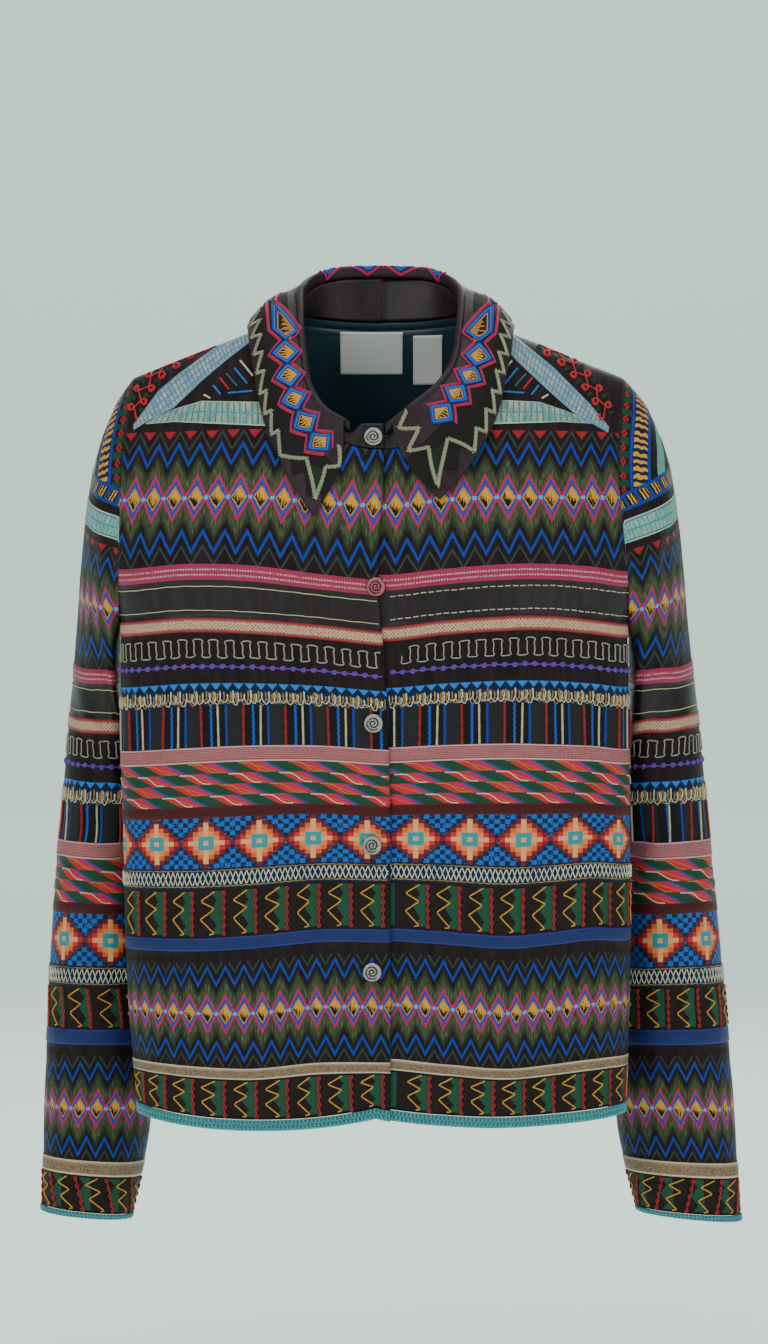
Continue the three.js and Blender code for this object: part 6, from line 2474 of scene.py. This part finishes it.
for name, side in (("right", -1), ("left", 1)):
    end = float(np.abs(edge_length[0 if side < 0 else -1])) - LOBE_START
    count = int(end / TOOTH_PERIOD + 0.6)
    end = count * TOOTH_PERIOD
    line = []
    for i in range(count * 2 + 1):
        length = side * end * i / (count * 2)
        place = float(np.interp(length, edge_length, fall_surface.places))
        depth = float(np.interp(place, fall_surface.places, fall_surface.depth))
        inner = i % 2 == 1
        line.append((place, depth - TOOTH_INSET - (TOOTH_DEPTH if inner else 0.0)))
    line += [fall_surface.find(*spot) for spot in LOBES[name]]
    line = np.array(line)
    pieces = [blend(a, b, np.linspace(0, 1, 16, endpoint=False)[:, None]) for a, b in zip(line, line[1:])]
    flat = np.concatenate(pieces + [line[-1:]])
    low = fall_surface.lifted(flat[:, 0], flat[:, 1], 0.0)
    high = fall_surface.lifted(flat[:, 0], flat[:, 1], 1.0)
    both = spaced(np.concatenate([low, high], axis=1), 2.0)
    rope(both[:, :3], unit(both[:, 3:] - both[:, :3]))
    lobe_middle = np.array([fall_surface.find(*spot) for spot in LOBES[name][:3]])
    for share in np.linspace(0.12, 0.72, 12):
        left = blend(lobe_middle[0], lobe_middle[1], share)
        right = blend(lobe_middle[2], lobe_middle[1], share)
        inside = [blend(left, right, 0.18), blend(left, right, 0.82)]
        collar_stitching.lay("forest_thread", 0.4, on_fall(inside, 0.25, 3))
collar_threads = collar_stitching.made()

# %% [markdown]
# ## The shoulders
#
# Two pale ribbons meet near each armhole: one slants down from the neck, and one lies level above the flames.
# The slanting one is woven with a check and the level one with uneven bars. Above them a red scroll runs along
# the shoulder on the plum satin, with dark green filling its bends, and a few loose stitches lie between them.

# %% Placing things on the shoulders
def shoulder_point(name, x, z, lift):
    """A point on a front's cloth that the camera sees at x, z on the plane through the origin."""
    chart = panel_charts[name]
    x, z = np.asarray(x, float), np.asarray(z, float)
    real_x, real_z = x.copy(), z.copy()
    for _ in range(4):
        real_z = np.minimum(real_z, ridge_height(real_x) - 1.5)
        y = chart.surface(real_x, real_z)[..., 1]
        real_x = 6.8 + (x - 6.8) * (4000 + y) / 4000
        real_z = -286.5 + (z + 286.5) * (4000 + y) / 4000
    real_z = np.minimum(real_z, ridge_height(real_x) - 1.5)
    return chart.lifted(real_x, real_z, lift)


checked = ribbon("checked_ribbon", (0.16, 0.27, 0.31), 18.0)
line_up = checked.u.offset(3.9).size().below(0.55)
line_along = checked.v.offset(5.2, 9.0).size().below(0.5)
warm = checked.noise(0.16, 0.16, 2.0, 3.0)
checked.paint((warm - 0.4) * 4.0, (0.4, 0.43, 0.32), 0.6)
checked.paint(line_up.most(line_along), (0.06, 0.17, 0.3), 0.2)
fray = checked.noise(1.6, 0.2, 2.0, 8.0)
checked.shade(fray, 0.6, 1.4)
checked_ribbon = ribbon_done(checked, (0.16, 0.3, 0.42))

barred = ribbon("barred_ribbon", (0.11, 0.26, 0.24), 18.0)
bars = barred.noise(0.35, 0.09, 3.0, 2.0)
barred.paint((bars - 0.42) * 5.0, (0.36, 0.4, 0.26), 0.9)
barred.paint(barred.u.offset(5.3, 1.0).size().below(0.6) * bars.above(0.4), (0.04, 0.14, 0.2), 0.2)
barred.paint(barred.v.near(9.0, 0.6) * bars.above(0.45), (0.06, 0.2, 0.26), 0.2)
barred_ribbon = ribbon_done(barred, (0.4, 0.55, 0.45))

# Upper and lower edges of the ribbons as the camera sees them, from the neck outwards
SHOULDER_RIBBONS = [
    ("right", "checked", checked_ribbon,
     [(-98, 8), (-106, 5), (-126, -2.6), (-169, -34), (-185, -47.6), (-206, -76)],
     [(-98, 0), (-107, -6), (-126, -20.4), (-148, -39), (-172, -62), (-191, -71.4), (-206, -81)]),
    ("right", "barred", barred_ribbon,
     [(-90, -57.4), (-100, -57), (-148, -56.1), (-172, -63.2), (-188, -70)],
     [(-88, -77.5), (-94, -77.4), (-148, -75), (-172, -74), (-196, -76)]),
    ("left", "checked", checked_ribbon,
     [(108, 7), (119, -1.7), (150.5, -27.2), (182, -58.7), (198, -78.2)],
     [(108, -10), (117, -19.6), (144, -45), (169, -67.2), (197, -83)]),
    ("left", "barred", barred_ribbon,
     [(96, -55), (105, -55.3), (139, -57), (159, -63.8), (178, -71)],
     [(94, -76), (103, -75.7), (159, -74), (183, -75.5)]),
]


def even_points(line, count):
    return spaced(line, 0.5)[np.linspace(0, len(spaced(line, 0.5)) - 1, count).astype(int)]


def shoulder_ribbon(name, kind, material, upper, lower):
    columns = 60
    high, low = even_points(upper, columns), even_points(lower, columns)
    shares = np.linspace(0, 1, 9)
    rows = []
    for share in shares:
        flat = blend(high, low, share)
        lift = 0.75 if 0.05 < share < 0.95 else 0.25
        rows.append(shoulder_point(name, flat[:, 0], flat[:, 1], lift))
    points = np.array(rows)
    u = np.repeat(np.abs(lengths_along(points[4]) - lengths_along(points[4])[0])[None], 9, axis=0)
    v = np.repeat(((1 - shares) * 18)[:, None], columns, axis=1)
    none = [0] * 9
    piece = sheet_mesh(f"{kind}_ribbon_{name}", points, u, v, none, none, [material, material], from_middle)
    area = area_of(piece)
    wall(piece, 0.5, 1)
    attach(piece, "root")
    print(piece.name, round(area * 1e4, 1), "square centimetres")


for row in SHOULDER_RIBBONS:
    shoulder_ribbon(*row)

# %% Scroll, green fillings and loose stitches
SCROLL_PERIOD = 15.0
# Middle line of the red scroll as the camera sees it
SCROLLS = {
    "right": [(-136, -3), (-160, -14), (-186, -32), (-200, -50), (-205, -68)],
    "left": [(138, -6), (160, -20), (180, -40), (191, -56), (196, -70)],
}
LOOSE = [
    ("pale_thread", (-115.4, -22), (-104.6, -34.9)), ("blue_thread", (-120.2, -28.5), (-109.4, -41.5)),
    ("teal_thread", (-127.2, -33.3), (-118, -43.6)), ("red_thread", (-132.7, -36.6), (-125.1, -46.3)),
    ("blue_thread", (-138.1, -43.1), (-132.2, -50.7)), ("blue_thread", (-125.6, -49.6), (-104.6, -47.9)),
    ("pale_thread", (-146, -51), (-141, -54)),
]
for name, side in (("right", -1), ("left", 1)):
    stitching = body_benches[f"front_{name}"]
    middle = spaced(SCROLLS[name], 0.8)
    ahead = unit(np.gradient(middle, axis=0))
    across = np.stack([-ahead[:, 1], ahead[:, 0]], axis=-1) * side
    turn = np.arange(len(middle)) * 0.8 * (2 * math.pi / SCROLL_PERIOD)
    for offset in (-0.75, 0.0, 0.75):
        line = middle + across * ((6.2 + offset) * np.sin(turn))[:, None] + ahead * (4.6 * np.sin(2 * turn))[:, None]
        path = shoulder_point(name, line[:, 0], line[:, 1], 0.55)
        stitching.lay("red_thread" if offset else "dark_red_thread", 0.62, path)
    for start in np.arange(0.25, len(middle) * 0.8 / SCROLL_PERIOD, 0.5):
        at = min(len(middle) - 1, int(start * SCROLL_PERIOD / 0.8))
        sign = -1 if round(start * 2 - 0.5) % 2 == 0 else 1
        for n in range(5):
            long = 4.4 - n * 0.85
            base = middle[at] + across[at] * sign * (3.4 + n * 1.0)
            line = np.array([base - ahead[at] * long * 0.5, base + ahead[at] * long * 0.5])
            stitching.lay("forest_thread", 0.55, shoulder_point(name, line[:, 0], line[:, 1], 0.3))
    for yarn, start, end in LOOSE:
        line = np.array([start, end]) * (-side, 1)
        line = spaced(line, 3.0)
        stitching.twist(yarn, 0.9, shoulder_point(name, line[:, 0], line[:, 1], 0.5), 3.0)
thread_pieces = {name: body_benches[name].made() for name in ("front_right", "front_left", "back")}

# %% [markdown]
# ## What each sheet was cut from
#
# Every piece of cloth is listed with the size that it was cut to, and the share of that size that its area fills is
# printed. The cloth isn't stretched anywhere, so its flat area is the area that it has now.

# %% Cloth sizes
SHEETS = [
    ("right", cloth_pieces["right"], 0.27, 0.70, []),
    ("left", cloth_pieces["left"], 0.29, 0.70, []),
    ("back", cloth_pieces["back"], 0.56, 0.70, []),
    ("sleeve_right", cloth_pieces["sleeve_right"], 0.34, 0.78, []),
    ("sleeve_left", cloth_pieces["sleeve_left"], 0.34, 0.78, []),
    ("fall", fall, 0.54, 0.105, [stand]),
    ("stand", stand, 0.46, 0.03, [cloth_pieces["back"]]),
    ("lining", lining_sheet, 0.50, 0.64, [cloth_pieces["back"]]),
]
for name, piece, width, length, rests_on in SHEETS:
    area = panel_areas[name]
    share = area / (width * length)
    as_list(rests_on)
    print(piece.name, round(share, 2), "of", width, "by", length)
